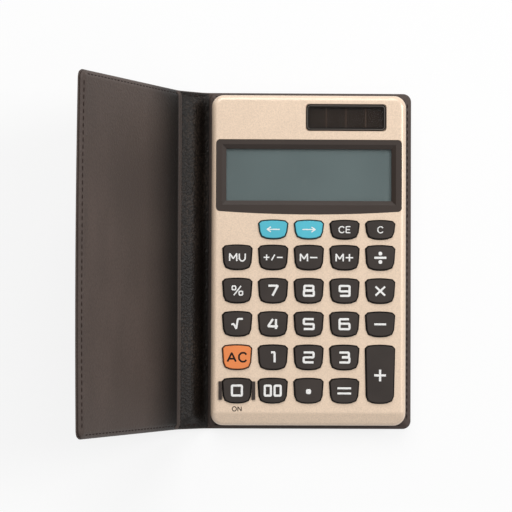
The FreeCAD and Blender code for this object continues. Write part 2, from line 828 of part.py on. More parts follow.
def display_bezel():
    """Dark frame: sloped sides down to the view, a lip under the case and a seat for the lens below."""
    body = new_body("display_bezel")
    height = CASE_TOP_Z - d.bezel_sink - BEZEL_Z
    outline = new_sketch(body, "XY_Plane")
    window_outline(outline, d.bezel_gap)
    block = pad(body, outline, height)
    round_edges(body, block, edge_names(block, upright), d.window_corner - d.bezel_gap)
    lip = new_sketch(body, "XY_Plane")
    half = WINDOW_WIDTH / 2 - d.bezel_lip_inset
    foot = WINDOW_TOP_Y - WINDOW_HEIGHT - bulge(d.window_bow, WINDOW_WIDTH / 2) - d.bezel_lip
    rectangle(lip, -half, half, foot, WINDOW_TOP_Y + d.bezel_lip)
    pad(body, lip, d.bezel_lip_thickness)
    seat_half_x = VIEW_WIDTH / 2 + d.lens_lip
    seat_half_y = d.view_height / 2 + d.lens_lip
    seat = new_sketch(body, "XY_Plane", y=VIEW_Y)
    rectangle(seat, -seat_half_x, seat_half_x, -seat_half_y, seat_half_y)
    pocket(body, seat, d.lens_thickness + d.lens_play / 2, up=True)
    view = new_sketch(body, "XY_Plane", y=VIEW_Y)
    rectangle(view, -VIEW_WIDTH / 2, VIEW_WIDTH / 2, -d.view_height / 2, d.view_height / 2)
    pocket(body, view, height, up=True)
    mouth = new_sketch(body, "XY_Plane", y=VIEW_Y, z=height)
    mouth_x = VIEW_WIDTH / 2 + d.bezel_slope
    mouth_y = d.view_height / 2 + d.bezel_slope
    rectangle(mouth, -mouth_x, mouth_x, -mouth_y, mouth_y)
    throat = new_sketch(body, "XY_Plane", y=VIEW_Y, z=d.bezel_lip_thickness + d.flange_play)
    rectangle(throat, -VIEW_WIDTH / 2, VIEW_WIDTH / 2, -d.view_height / 2, d.view_height / 2)
    slope = body.newObject("PartDesign::SubtractiveLoft", "Loft")
    slope.Profile = mouth
    slope.Sections = [throat]
    slope.Ruled = True
    place(body, z=BEZEL_Z)
    subpart(body)


def display_lens():
    width = VIEW_WIDTH + (d.lens_lip - d.lens_play) * 2
    length = d.view_height + (d.lens_lip - d.lens_play) * 2
    subpart(box("display_lens", ZERO, VIEW_Y, BEZEL_Z, width, length, d.lens_thickness))


def lcd_panel():
    """Two bonded glasses; the upper one overhangs as the contact ledge."""
    body = new_body("lcd_panel")
    half_x = VIEW_WIDTH / 2 + d.glass_margin_x
    half_y = d.view_height / 2 + d.glass_margin_y
    rear = new_sketch(body, "XY_Plane", y=VIEW_Y)
    rectangle(rear, -half_x, half_x, d.ledge_width - half_y, half_y)
    pad(body, rear, d.glass_thickness)
    front = new_sketch(body, "XY_Plane", y=VIEW_Y, z=d.glass_thickness)
    rectangle(front, -half_x, half_x, -half_y, half_y)
    pad(body, front, d.glass_thickness)
    place(body, z=LCD_TOP_Z - d.glass_thickness * 2)
    subpart(body)


def lcd_supports():
    """Conductive strip under the ledge and a foam strip under the far side of the glass."""
    half_y = d.view_height / 2 + d.glass_margin_y
    rise = LCD_TOP_Z - d.glass_thickness - PCB_TOP_Z
    connector_y = VIEW_Y - half_y + d.ledge_width / 2
    length = VIEW_WIDTH - d.connector_inset * 2
    subpart(box("lcd_connector", ZERO, connector_y, PCB_TOP_Z, length, d.connector_width, rise))
    cushion_y = VIEW_Y + half_y - d.ledge_width / 2
    subpart(box("lcd_cushion", ZERO, cushion_y, PCB_TOP_Z, length, d.connector_width,
                rise - d.glass_thickness))


# Power

def solar_window():
    body = new_body("solar_window")
    sketch = new_sketch(body, "XY_Plane")
    play = d.solar_window_play
    rounded_rectangle(sketch, d.solar_width / 2 - play, d.solar_height / 2 - play, d.solar_corner - play)
    pad(body, sketch, d.solar_window_thickness)
    place(body, SOLAR_X, SOLAR_Y, CASE_TOP_Z - d.solar_window_sink - d.solar_window_thickness)
    subpart(body)


SOLAR_CELL_Z = CEILING_Z - d.solar_glue - d.solar_cell_thickness
SOLAR_CELL_WIDTH = d.solar_width + (d.solar_cell_overlap - d.solar_ledge) * 2
SOLAR_CELL_LENGTH = d.solar_height + (d.solar_cell_overlap - d.solar_ledge) * 2


def solar_cell():
    subpart(box("solar_cell", SOLAR_X, SOLAR_Y, SOLAR_CELL_Z, SOLAR_CELL_WIDTH, SOLAR_CELL_LENGTH,
                d.solar_cell_thickness))


def bent_strip(label, x, width, corners):
    """Thin strip, drawn in side view."""
    body = new_body(label)
    profile = new_sketch(body, "YZ_Plane")
    polygon(profile, corners)
    pad(body, profile, width, middle=True)
    place(body, x)
    return body


def solar_leads():
    """Two flat leads that drop from the cell and lie on the edge of the circuit board."""
    strip = d.lead_thickness
    drop_y = SOLAR_Y - SOLAR_CELL_LENGTH / 2
    end_y = PCB_BACK_Y - d.lead_lap
    corners = [
        (end_y, PCB_TOP_Z), (drop_y + strip, PCB_TOP_Z), (drop_y + strip, SOLAR_CELL_Z),
        (drop_y, SOLAR_CELL_Z), (drop_y, PCB_TOP_Z + strip), (end_y, PCB_TOP_Z + strip),
    ]
    reach = SOLAR_CELL_WIDTH / 2 - d.lead_inset
    leads = [bent_strip("solar_lead", SOLAR_X + reach * side, d.lead_width, corners) for side in (-1, 1)]
    subpart(group("solar_leads", leads))


def button_cell():
    """Can with its smaller cap facing down."""
    body = new_body("button_cell")
    profile = new_sketch(body, "XZ_Plane")
    polygon(profile, [
        (ZERO, ZERO), (d.cell_cap_radius, ZERO), (d.cell_cap_radius, d.cell_cap_height),
        (d.cell_radius, d.cell_cap_height), (d.cell_radius, d.cell_height), (ZERO, d.cell_height),
    ])
    revolution(body, profile)
    place(body, CELL_X, CELL_Y, CELL_Z)
    subpart(body)


def battery_contacts():
    """Springs of thin strip: one over the can, one under its cap."""
    strip = d.contact_thickness
    tip = CELL_Y + d.cell_cap_radius / 2
    over = CELL_Z + d.cell_height
    foot = PCB_BACK_Y - d.contact_lap
    subpart(bent_strip("battery_contact_plus", CELL_X, d.contact_width, [
        (foot, PCB_TOP_Z), (PCB_BACK_Y, PCB_TOP_Z), (PCB_BACK_Y, over), (tip, over),
        (tip, over + strip), (PCB_BACK_Y - strip, over + strip),
        (PCB_BACK_Y - strip, PCB_TOP_Z + strip), (foot, PCB_TOP_Z + strip),
    ]))
    subpart(bent_strip("battery_contact_minus", CELL_X, d.contact_width, [
        (foot, FLOOR_Z), (tip, FLOOR_Z), (tip, FLOOR_Z + strip), (foot + strip, FLOOR_Z + strip),
        (foot + strip, PCB_Z), (foot, PCB_Z),
    ]))


# Circuit board

def circuit_board():
    """Board with its two front corners cut round the case posts."""
    body = new_body("circuit_board")
    outline = new_sketch(body, "XY_Plane")
    rectangle(outline, -PCB_HALF_WIDTH, PCB_HALF_WIDTH, PCB_FRONT_Y, PCB_BACK_Y)
    pad(body, outline, d.pcb_thickness)
    notches = new_sketch(body, "XY_Plane")
    posts_at(notches, BASE_POST_RADIUS + d.lip_gap)
    pocket(body, notches, up=True)
    place(body, z=PCB_Z)
    subpart(body)


def chip_cap():
    """Flat drop of epoxy over the chip, under the board."""
    body = new_body("chip_cap")
    outline = new_sketch(body, "XY_Plane")
    eight_sided(outline, ZERO, ZERO, d.chip_radius)
    pad(body, outline, d.chip_height, down=True)
    place(body, ZERO, d.chip_inset - HALF_LENGTH, PCB_Z)
    subpart(body)


def screws():
    """Case screws, heads down in their recesses; like the posts they have few sides."""
    members = []
    for x, y in CASE_POSTS:
        body = new_body("case_screw")
        head = new_sketch(body, "XY_Plane")
        eight_sided(head, ZERO, ZERO, d.screw_head_radius)
        pad(body, head, d.screw_head_height)
        shank = new_sketch(body, "XY_Plane", z=d.screw_head_height)
        eight_sided(shank, ZERO, ZERO, d.screw_radius)
        pad(body, shank, d.screw_length)
        place(body, x, y, CALC_Z + d.screw_sink)
        members.append(body)
    subpart(group("case_screws", members))


# Keypad

def dome(body, x, y):
    """Rubber dome: an eight-sided stump from the mat up to the key's stem."""
    foot = new_sketch(body, "XY_Plane", x, y, d.mat_thickness)
    eight_sided(foot, ZERO, ZERO, d.dome_radius)
    return pad(body, foot, STEM_FOOT_Z - d.dome_play - MAT_TOP_Z)


def key_mat():
    """Rubber sheet with a dome under every key."""
    body = new_body("key_mat")
    outline = new_sketch(body, "XY_Plane")
    rim = d.key_gap + d.flange_reach + d.mat_rim
    half = column_x(COLUMNS) + d.key_width / 2 + rim
    low = row_y(ROWS) - d.key_height / 2 - d.key_gap
    high = row_y(1) + d.small_key_height / 2 + d.key_gap
    rectangle(outline, -half, half, low, high)
    pad(body, outline, d.mat_thickness)
    standard = dome(body, column_x(1), row_y(ROWS))
    repeat(body, standard, (FULL_COLUMNS, KEY_PITCH_X), (ROWS - 1, KEY_PITCH_Y))
    repeat(body, dome(body, column_x(COLUMNS), row_y(4)), along=(3, KEY_PITCH_Y))
    repeat(body, dome(body, column_x(2), row_y(1)), across=(FULL_COLUMNS, KEY_PITCH_X))
    dome(body, column_x(COLUMNS), TALL_KEY_Y)
    place(body, z=PCB_TOP_Z)
    subpart(body)


def key_pattern(label, height):
    """Cap that stands through its opening, with a rim that stops under the case and a stem on its dome."""
    body = new_body(label)
    half_x = d.key_width / 2 + d.key_gap + d.flange_reach
    half_y = height / 2 + d.key_gap + d.flange_reach
    rim = new_sketch(body, "XY_Plane")
    rectangle(rim, -half_x, half_x, -half_y, half_y)
    pad(body, rim, d.flange_thickness, down=True)
    outline = new_sketch(body, "XY_Plane")
    key_outline(outline, d.key_width, height)
    cap = pad(body, outline, d.flange_play + d.top_wall + d.key_proud)
    bevel_edges(body, cap, [face_name(cap, True)], d.key_edge)
    foot = new_sketch(body, "XY_Plane", z=-d.flange_thickness)
    stem_half = d.stem_width / 2
    rectangle(foot, -stem_half, stem_half, -stem_half, stem_half)
    pad(body, foot, d.stem_length, down=True)
    return body


def key(label, pattern, x, y):
    """One key: a copy of the pattern of its height."""
    copy = group(label, [pattern])
    place(copy, x, y, FLANGE_TOP_Z)
    subpart(copy)


KEY_ROWS = (
    (None, "key_check_back", "key_check_next", "key_correct", "key_review"),
    ("key_markup", "key_sign", "key_memory_minus", "key_memory_plus", "key_divide"),
    ("key_percent", "key_7", "key_8", "key_9", "key_multiply"),
    ("key_root", "key_4", "key_5", "key_6", "key_minus"),
    ("key_clear", "key_1", "key_2", "key_3", None),
    ("key_0", "key_00", "key_point", "key_equals", None),
)


def keys():
    small = key_pattern("small_key", d.small_key_height)
    standard = key_pattern("standard_key", d.key_height)
    for row, labels in enumerate(KEY_ROWS, 1):
        for column, label in enumerate(labels, 1):
            if label:
                key(label, small if row == 1 else standard, column_x(column), row_y(row))
    key("key_plus", key_pattern("tall_key", TALL_KEY_HEIGHT), column_x(COLUMNS), TALL_KEY_Y)


def on_key_guard():
    """Two short bars set in slots beside the key that switches on."""
    offset = d.key_width / 2 + d.key_gap + d.guard_width / 2
    bars = []
    for side in (-1, 1):
        bars.append(box("guard_bar", column_x(1) + offset * side, row_y(ROWS), CASE_TOP_Z - d.guard_depth,
                        d.guard_width, d.guard_length, d.guard_depth + d.guard_proud))
    subpart(group("on_key_guard", bars))


def build():
    back_cover()
    spine()
    front_cover()
    mounting_tape()
    bottom_case()
    top_case()
    display_bezel()
    display_lens()
    lcd_panel()
    lcd_supports()
    solar_window()
    solar_cell()
    solar_leads()
    button_cell()
    battery_contacts()
    circuit_board()
    chip_cap()
    screws()
    key_mat()
    on_key_guard()
    keys()
    DOC.recompute()


def check():
    for thing in DOC.Objects:
        if "Invalid" in thing.State or "Error" in thing.State:
            raise RuntimeError("%s failed: %s" % (thing.Name, thing.State))
    for thing in SUBPARTS:
        if thing.Shape.isNull() or not thing.Shape.isValid() or not thing.Shape.Solids:
            raise RuntimeError(thing.Label + " has no sound solid")


def write():
    os.makedirs("parts", exist_ok=True)
    for thing in SUBPARTS:
        thing.Shape.exportStep(os.path.join("parts", thing.Label + ".step"))


build()
check()
write()
print(len(SUBPARTS), "parts written")
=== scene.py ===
import json
import math

import bmesh
import bpy
from bpy.props import FloatProperty, FloatVectorProperty, PointerProperty
from mathutils import Matrix, Vector


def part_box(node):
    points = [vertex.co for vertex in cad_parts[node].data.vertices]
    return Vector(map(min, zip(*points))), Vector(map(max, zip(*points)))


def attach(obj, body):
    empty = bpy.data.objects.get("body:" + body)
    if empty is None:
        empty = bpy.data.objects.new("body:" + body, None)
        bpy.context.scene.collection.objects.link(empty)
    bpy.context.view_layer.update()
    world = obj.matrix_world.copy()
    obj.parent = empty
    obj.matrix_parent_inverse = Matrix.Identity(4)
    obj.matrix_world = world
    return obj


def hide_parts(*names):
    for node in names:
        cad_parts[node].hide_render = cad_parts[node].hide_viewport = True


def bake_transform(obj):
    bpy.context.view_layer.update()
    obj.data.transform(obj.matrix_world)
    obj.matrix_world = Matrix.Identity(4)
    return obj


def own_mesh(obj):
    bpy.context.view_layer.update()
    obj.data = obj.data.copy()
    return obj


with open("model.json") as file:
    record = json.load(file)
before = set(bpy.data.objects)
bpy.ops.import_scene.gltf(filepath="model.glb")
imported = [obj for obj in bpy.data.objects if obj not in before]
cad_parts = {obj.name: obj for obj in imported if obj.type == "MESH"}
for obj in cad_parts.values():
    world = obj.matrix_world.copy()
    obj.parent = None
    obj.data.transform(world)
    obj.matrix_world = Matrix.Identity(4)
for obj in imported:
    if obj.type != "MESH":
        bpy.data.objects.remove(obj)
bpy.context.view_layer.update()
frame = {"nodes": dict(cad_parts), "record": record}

# Looks of a pocket calculator in a folding leatherette wallet.
# Lengths are metres, in the frame of the solids.

bl_info = {
    "name": "Wallet Calculator",
    "version": (1, 0, 0),
    "blender": (4, 5, 0),
    "location": "View3D > Sidebar > Wallet Calculator",
    "description": "Leather, stitching, legends and finishes of a pocket calculator in a folding wallet",
    "category": "Object",
}

MM = 0.001
JOINTS = {joint["name"]: joint for joint in frame["record"]["behaviour"]["joints"]}
BACK_CREASE = Vector(JOINTS["spine_fold"]["pos_m"])
FRONT_CREASE = Vector(JOINTS["cover_fold"]["pos_m"])
BACK_HIGH = Vector(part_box("back_cover_skin")[1])
HALF_LENGTH = BACK_HIGH.y
HALF_SKIN = BACK_CREASE.z

# Distances along the open wallet, from the back cover's free edge over both creases to the flap's free edge.
BACK_CREASE_AT = BACK_HIGH.x - BACK_CREASE.x
FRONT_CREASE_AT = BACK_CREASE_AT + (FRONT_CREASE - BACK_CREASE).length
FLAP_EDGE_AT = FRONT_CREASE_AT + BACK_CREASE_AT
SPINE_MIDDLE_AT = (BACK_CREASE_AT + FRONT_CREASE_AT) / 2

# Ways along the covers and the spine at rest, and how softly the leather bends between them.
FLAP_ANGLE = math.radians(65)
ALONG_BACK = Vector((-1, 0, 0))
ALONG_SPINE = (FRONT_CREASE - BACK_CREASE).normalized()
ALONG_FLAP = Vector((-math.cos(FLAP_ANGLE), 0, math.sin(FLAP_ANGLE)))
CREASE_SOFTNESS = 2.2 * MM
BEND_REACH = 1.3 * CREASE_SOFTNESS
FLAP_BOW = 0.5 * MM

# Layers of the covers: the outer leather's two faces, the board, and the inner leather with its margins.
SKIN = (lambda gap, at: -HALF_SKIN, lambda gap, at: HALF_SKIN)
BOARD_THICKNESS = 0.9 * MM
LAYER = 0.45 * MM
LAYER_GAP = 0.01 * MM
FREE_TRIM = 0.3 * MM
CREASE_MARGIN = 1.5 * MM
CARD_ROOM = 0.2 * MM
GRAIN_DEPTH = 0.15 * MM

# Inner face of a cover: it rises over the sewn rim, and very slightly further in.
RIM_SHARE = 0.95
RIM_SHIFT = 0.9 * MM
RIM_RUN = 3.0 * MM
PAD_RUN = 14 * MM

# Black strip of the spine: how far it passes the creases, its roll, and the run up from its sewn ends.
SPINE_OVERLAP = 1.3 * MM
CROWN = 1.7 * MM
CROWN_LEAN = 1.25
FLAT_END = 1.0 * MM
FLAT_RUN = 3.5 * MM

# Pocket's hem, and painted shade by height at rest: painted shadow beside and between its two ridges, and
# painted shade growing darker near the spine, where the raised flap meets it.
HEM_WIDTH = 2.6 * MM
HEM_HEIGHT = 0.45 * MM
HEM_PAINTED_SHADE = ((10.4, 0.3), (10.9, 1.0), (11.45, 1.0), (11.72, 0.2), (12.0, 1.0), (12.65, 1.0), (12.95, 0.05))
POCKET_PAINTED_SHADE = [(height * MM, tone) for height, tone in (*HEM_PAINTED_SHADE, (18, 0.14), (25, 0.45), (36, 1.0))]

# Half width and half height of a stitch, and the length left free at the ends of a row and beside a crease.
THREAD_WIDTH = 0.24 * MM
THREAD_HEIGHT = 0.12 * MM
ROW_END = 2 * MM
CREASE_SPARE = 1.5 * MM

# Stroke letters in units of their height: width, then lines; a line that ends where it starts is closed.
GLYPHS = {
    "0": (1.0, [[(0, 0), (1, 0), (1, 1), (0, 1), (0, 0)]]),
    "1": (0.35, [[(0, 1), (0.35, 1), (0.35, 0)]]),
    "2": (1.0, [[(0, 1), (1, 1), (1, 0.5), (0, 0.5), (0, 0), (1, 0)]]),
    "3": (1.0, [[(0, 1), (0.95, 1), (0.95, 0.54), (0.25, 0.54)], [(0.25, 0.5), (1, 0.5), (1, 0), (0, 0)]]),
    "4": (1.0, [[(0.5, 1), (0, 0.26), (1, 0.26)], [(0.8, 1), (0.8, 0)]]),
    "5": (1.0, [[(1, 1), (0, 1), (0, 0.5), (1, 0.5), (1, 0), (0, 0)]]),
    "6": (1.0, [[(0.95, 1), (0, 1), (0, 0), (1, 0), (1, 0.55), (0, 0.55)]]),
    "7": (0.95, [[(0, 1), (0.95, 1), (0.42, 0)]]),
    "8": (1.0, [
        [(0, 0), (1, 0), (1, 0.5), (0, 0.5), (0, 0)],
        [(0.05, 0.54), (0.95, 0.54), (0.95, 1), (0.05, 1), (0.05, 0.54)],
    ]),
    "9": (1.0, [[(0.05, 0), (1, 0), (1, 1), (0, 1), (0, 0.45), (1, 0.45)]]),
    "A": (0.95, [[(0, 0), (0.475, 1), (0.95, 0)], [(0.16, 0.33), (0.79, 0.33)]]),
    "C": (0.85, [[
        (0.85, 0.8), (0.64, 1), (0.28, 1), (0, 0.72), (0, 0.28), (0.28, 0), (0.64, 0), (0.85, 0.2),
    ]]),
    "E": (0.7, [[(0.7, 1), (0, 1), (0, 0), (0.7, 0)], [(0, 0.5), (0.6, 0.5)]]),
    "M": (0.95, [[(0, 0), (0, 1), (0.475, 0.3), (0.95, 1), (0.95, 0)]]),
    "N": (0.8, [[(0, 0), (0, 1), (0.8, 0), (0.8, 1)]]),
    "O": (0.96, [[
        (0.3, 0), (0.66, 0), (0.96, 0.3), (0.96, 0.7), (0.66, 1), (0.3, 1), (0, 0.7), (0, 0.3), (0.3, 0),
    ]]),
    "U": (0.8, [[(0, 1), (0, 0.28), (0.25, 0), (0.55, 0), (0.8, 0.28), (0.8, 1)]]),
    "+": (1.0, [[(0, 0.5), (1, 0.5)], [(0.5, 0), (0.5, 1)]]),
    "-": (1.0, [[(0, 0.5), (1, 0.5)]]),
    "*": (1.0, [[(0.02, 0.05), (0.98, 0.95)], [(0.02, 0.95), (0.98, 0.05)]]),
    ":": (1.3, [
        [(0, 0.5), (1.3, 0.5)],
        [(0.57, 0.87), (0.73, 0.87), (0.73, 1.03), (0.57, 1.03), (0.57, 0.87)],
        [(0.57, -0.03), (0.73, -0.03), (0.73, 0.13), (0.57, 0.13), (0.57, -0.03)],
    ]),
    "=": (1.38, [[(0, 0.76), (1.38, 0.76)], [(0, 0.24), (1.38, 0.24)]]),
    ".": (0.26, [[(0, 0.37), (0.26, 0.37), (0.26, 0.63), (0, 0.63), (0, 0.37)]]),
    "%": (1.1, [
        [(0.18, 0), (0.95, 1)],
        [(0, 0.58), (0.38, 0.58), (0.38, 0.98), (0, 0.98), (0, 0.58)],
        [(0.74, 0.02), (1.12, 0.02), (1.12, 0.42), (0.74, 0.42), (0.74, 0.02)],
    ]),
    "r": (1.15, [[(0, 0.42), (0.22, 0.5), (0.48, 0.0), (0.64, 1), (1.15, 1)]]),
    "/": (0.55, [[(0, 0), (0.55, 1)]]),
    "<": (2.4, [[(2.4, 0.5), (0.1, 0.5)], [(0.75, 0.95), (0.05, 0.5), (0.75, 0.05)]]),
    ">": (2.4, [[(0, 0.5), (2.3, 0.5)], [(1.65, 0.95), (2.35, 0.5), (1.65, 0.05)]]),
}
STROKE_ROUND = 0.2

# Gap between letters, right for letters whose stroke has this share of their height.
LETTER_GAP = 0.34
LETTER_STROKE = 0.2

# What each key carries: letters, their height and stroke, and how far below the key's middle they stand, in
# millimetres. One pair of digits is drawn narrower, and one key has dark letters.
DIGIT = (3.6, 0.85)
LETTER = (2.7, 0.55)
SIGN = (3.6, 0.75)
LEGENDS = {
    "key_check_back": ("<", 2.0, 0.42, 0.0),
    "key_check_next": (">", 2.0, 0.42, 0.0),
    "key_correct": ("CE", 2.2, 0.4, 0.0),
    "key_review": ("C", 2.2, 0.4, 0.0),
    "key_markup": ("MU", *LETTER, 0.0),
    "key_sign": ("+/-", 2.1, 0.5, 0.0),
    "key_memory_minus": ("M-", *LETTER, 0.0),
    "key_memory_plus": ("M+", *LETTER, 0.0),
    "key_divide": (":", 3.4, 0.85, 0.0),
    "key_percent": ("%", 3.4, 0.5, 0.0),
    "key_multiply": ("*", *SIGN, 0.0),
    "key_root": ("r", *SIGN, 0.0),
    "key_minus": ("-", 4.3, 0.75, 0.0),
    "key_clear": ("AC", 3.2, 0.68, 0.0),
    "key_plus": ("+", 4.2, 0.85, 0.4),
    "key_0": ("0", *DIGIT, 0.0),
    "key_00": ("00", *DIGIT, 0.0),
    "key_point": (".", 3.6, 1.0, 0.3),
    "key_equals": ("=", 3.6, 0.75, 0.0),
}
LEGENDS.update({"key_%d" % digit: (str(digit), *DIGIT, 0.0) for digit in range(1, 10)})
NARROW = {"key_00": 0.62}
DARK_INK_KEYS = ("key_clear",)

# Sign below the key that switches on: height and stroke, and distance from the key; then the print's height.
ON_SIGN = (1.55 * MM, 0.32 * MM)
ON_SIGN_DROP = 1.3 * MM
INK_HEIGHT = 0.02 * MM

# Depth below a key's top in millimetres, and share of the full tone there: the skirt is painted dark, as
# painted shade for the shadow in the gap round each key.
KEY_SKIRT_SHADE = ((0.5, 0.12), (0.2, 0.2), (0.1, 1.0), (0.0, 1.0))

# Width of the solar cell's strips, and corner radius of its window.
SOLAR_STRIP = 7.2 * MM
SOLAR_CORNER = 1.7 * MM

# Rubber mat: its sheet, its corners, and the domes' radii and rounding.
MAT_SHEET = 0.5 * MM
MAT_CORNER = 1.5 * MM
DOME_FOOT = 2.4 * MM
DOME_TOP = 1.7 * MM
DOME_ROUND = 0.3 * MM

# Stage: lamps by name, place, size and share of the power, then the floor and the camera.
LAMPS = (
    ("back_lamp", (-0.15, 0.85, 0.8), 0.9, 1.0),
    ("right_lamp", (0.75, 0.25, 0.85), 0.5, 0.7),
)
FLOOR_SIZE = 3.0
FLOOR_GLOW = 0.8
CAMERA_PLACE = (-32.5 * MM, -21.0 * MM, 790.4 * MM)
CAMERA_TURN = (1.64, -0.98, 0.22)

COLOUR = {"subtype": "COLOR", "min": 0, "max": 1}


class WalletSizes(bpy.types.PropertyGroup):
    """Sizes and colours of the wallet's leather and thread."""

    stitch_length: FloatProperty(
        name="Stitch", description="Length of one stitch", default=1.8 * MM, unit="LENGTH")
    stitch_step: FloatProperty(
        name="Step", description="From stitch to stitch", default=2.4 * MM, unit="LENGTH")
    stitch_inset: FloatProperty(
        name="Inset", description="From the edge to the stitches", default=1.5 * MM, unit="LENGTH")
    grain: FloatProperty(
        name="Grain", description="Width of the leather's pebbles", default=0.75 * MM, unit="LENGTH")
    leather: FloatVectorProperty(
        name="Leather", description="Brown leather", default=(0.075, 0.055, 0.047), **COLOUR)
    spine: FloatVectorProperty(
        name="Spine", description="Black inside of the spine", default=(0.026, 0.0185, 0.014), **COLOUR)
    thread: FloatVectorProperty(
        name="Thread", description="Sewing thread", default=(0.016, 0.008, 0.006), **COLOUR)


class CalculatorColours(bpy.types.PropertyGroup):
    """Colours of the calculator."""

    case: FloatVectorProperty(
        name="Case", description="Light upper case", default=(0.78, 0.605, 0.455), **COLOUR)
    keys: FloatVectorProperty(
        name="Keys", description="Dark keys", default=(0.036, 0.028, 0.024), **COLOUR)
    check_keys: FloatVectorProperty(
        name="Check keys", description="Two cyan keys", default=(0.08, 0.48, 0.6), **COLOUR)
    clear_key: FloatVectorProperty(
        name="Clear key", description="Orange key", default=(0.84, 0.25, 0.07), **COLOUR)
    legends: FloatVectorProperty(
        name="Legends", description="Printed signs", default=(0.86, 0.85, 0.83), **COLOUR)
    display: FloatVectorProperty(
        name="Display", description="Blank display", default=(0.132, 0.172, 0.172), **COLOUR)


class StageSettings(bpy.types.PropertyGroup):
    """Light, floor and camera."""

    floor: FloatVectorProperty(
        name="Floor", description="Pale floor", default=(0.9, 0.9, 0.9), **COLOUR)
    lamp_power: FloatProperty(
        name="Lamp", description="Power of the main lamp", default=8.2, unit="POWER")
    sky: FloatProperty(
        name="Sky", description="Strength of the surrounding light", default=0.34, subtype="FACTOR")
    view_angle: FloatProperty(
        name="View", description="Camera's field of view", default=math.radians(13.6), unit="ROTATION")


# Materials

class Finish:
    """A node material around one shader, with helpers for its patterns."""

    def __init__(self, name, roughness=0.5, **sockets):
        self.material = bpy.data.materials.new(name)
        self.material.use_nodes = True
        self.tree = self.material.node_tree
        self.shader = self.tree.nodes["Principled BSDF"]
        self.place = self.node("ShaderNodeTexCoord").outputs["Object"]
        self.set(roughness=roughness, **sockets)

    def set(self, **sockets):
        """Sets the shader's sockets, named in small letters with underscores."""
        known = {socket.name.lower().replace(" ", "_"): socket for socket in self.shader.inputs}
        for name, value in sockets.items():
            known[name].default_value = value

    def node(self, kind, **values):
        """A new node with values for its inputs."""
        node = self.tree.nodes.new(kind)
        for name, value in values.items():
            node.inputs[name].default_value = value
        return node

    def link(self, source, target):
        self.tree.links.new(source, target)

    def stretched(self, scale):
        """Place on the piece, scaled along each axis."""
        mapping = self.node("ShaderNodeMapping", Scale=scale)
        self.link(self.place, mapping.inputs["Vector"])
        return mapping.outputs["Vector"]

    def noise(self, width, detail=3.0, vector=None):
        """Soft random pattern with features about one width across."""
        node = self.node("ShaderNodeTexNoise", Scale=1 / width, Detail=detail)
        self.link(vector or self.place, node.inputs["Vector"])
        return node.outputs["Fac"]

    def pebbles(self, width):
        """Rounded grains, about one width apart."""
        node = self.node("ShaderNodeTexVoronoi", Scale=1 / width)
        node.feature = "SMOOTH_F1"
        self.link(self.place, node.inputs["Vector"])
        return node.outputs["Distance"]

    def shift(self, value, low, high, from_low=0.3, from_high=0.7):
        """Maps a value from one range to another."""
        limits = {"From Min": from_low, "From Max": from_high, "To Min": low, "To Max": high}
        node = self.node("ShaderNodeMapRange", **limits)
        self.link(value, node.inputs["Value"])
        return node.outputs["Result"]

    def colours(self, value, low, high, from_low=0.3, from_high=0.7):
        """Base colour between two colours, by a value."""
        ramp = self.node("ShaderNodeValToRGB")
        for element, place, colour in zip(ramp.color_ramp.elements, (from_low, from_high), (low, high)):
            element.position = place
            element.color = (*colour, 1)
        self.link(value, ramp.inputs["Fac"])
        self.link(ramp.outputs["Color"], self.shader.inputs["Base Color"])

    def shades(self, value, colour, spread):
        """Base colour that varies about one colour by a share of it."""
        low = [channel * (1 - spread) for channel in colour]
        high = [min(channel * (1 + spread), 1) for channel in colour]
        self.colours(value, low, high)

    def rough(self, value, low, high):
        """Roughness between two values, by a pattern."""
        self.link(self.shift(value, low, high), self.shader.inputs["Roughness"])

    def bump(self, value, depth, strength=0.6):
        """Fine relief from a pattern."""
        node = self.node("ShaderNodeBump", Strength=strength, Distance=depth)
        self.link(value, node.inputs["Height"])
        self.link(node.outputs["Normal"], self.shader.inputs["Normal"])

    def toned(self, painted_shade):
        """Paints shade into the colour by height, from pairs of height and share of the full tone."""
        low, high = painted_shade[0][0], painted_shade[-1][0]
        split = self.node("ShaderNodeSeparateXYZ")
        self.link(self.place, split.inputs["Vector"])
        ramp = self.node("ShaderNodeValToRGB")
        elements = ramp.color_ramp.elements
        for height, _ in painted_shade[1:-1]:
            elements.new((height - low) / (high - low))
        for element, (height, tone) in zip(elements, painted_shade):
            element.position = (height - low) / (high - low)
            element.color = (tone, tone, tone, 1)
        self.link(self.shift(split.outputs["Z"], 0.0, 1.0, low, high), ramp.inputs["Fac"])
        product = self.node("ShaderNodeVectorMath")
        product.operation = "MULTIPLY"
        target = self.shader.inputs["Base Color"]
        self.link(target.links[0].from_socket, product.inputs[0])
        self.link(ramp.outputs["Color"], product.inputs[1])
        self.link(product.outputs["Vector"], target)

    def add(self, first, second, share):
        """First pattern plus a share of the second."""
        node = self.node("ShaderNodeMath")
        node.operation = "MULTIPLY_ADD"
        node.inputs[1].default_value = share
        self.link(second, node.inputs[0])
        self.link(first, node.inputs[2])
        return node.outputs["Value"]


def leatherette(name, colour, grain, depth, roughness=0.5, gloss=0.22, spread=0.2, contrast=0.3, painted_shade=()):
    """Pebbled leatherette: rounded grains with fine pores, broad soft changes of tone, and painted shade by
    height where given.
    """
    finish = Finish(name, specular_ior_level=gloss)
    broad = finish.noise(22 * MM, 2.0, finish.stretched((1.0, 0.45, 1.0)))
    grains = finish.pebbles(grain)
    finish.shades(finish.add(broad, grains, -contrast), [channel * 1.05 for channel in colour], spread)
    # Painted shade: the colour is darkened by height where shadow falls.
    if painted_shade:
        finish.toned(painted_shade)
    finish.rough(broad, roughness, roughness + 0.1)
    finish.bump(finish.add(grains, finish.noise(grain / 3), 0.5), depth)
    return finish.material


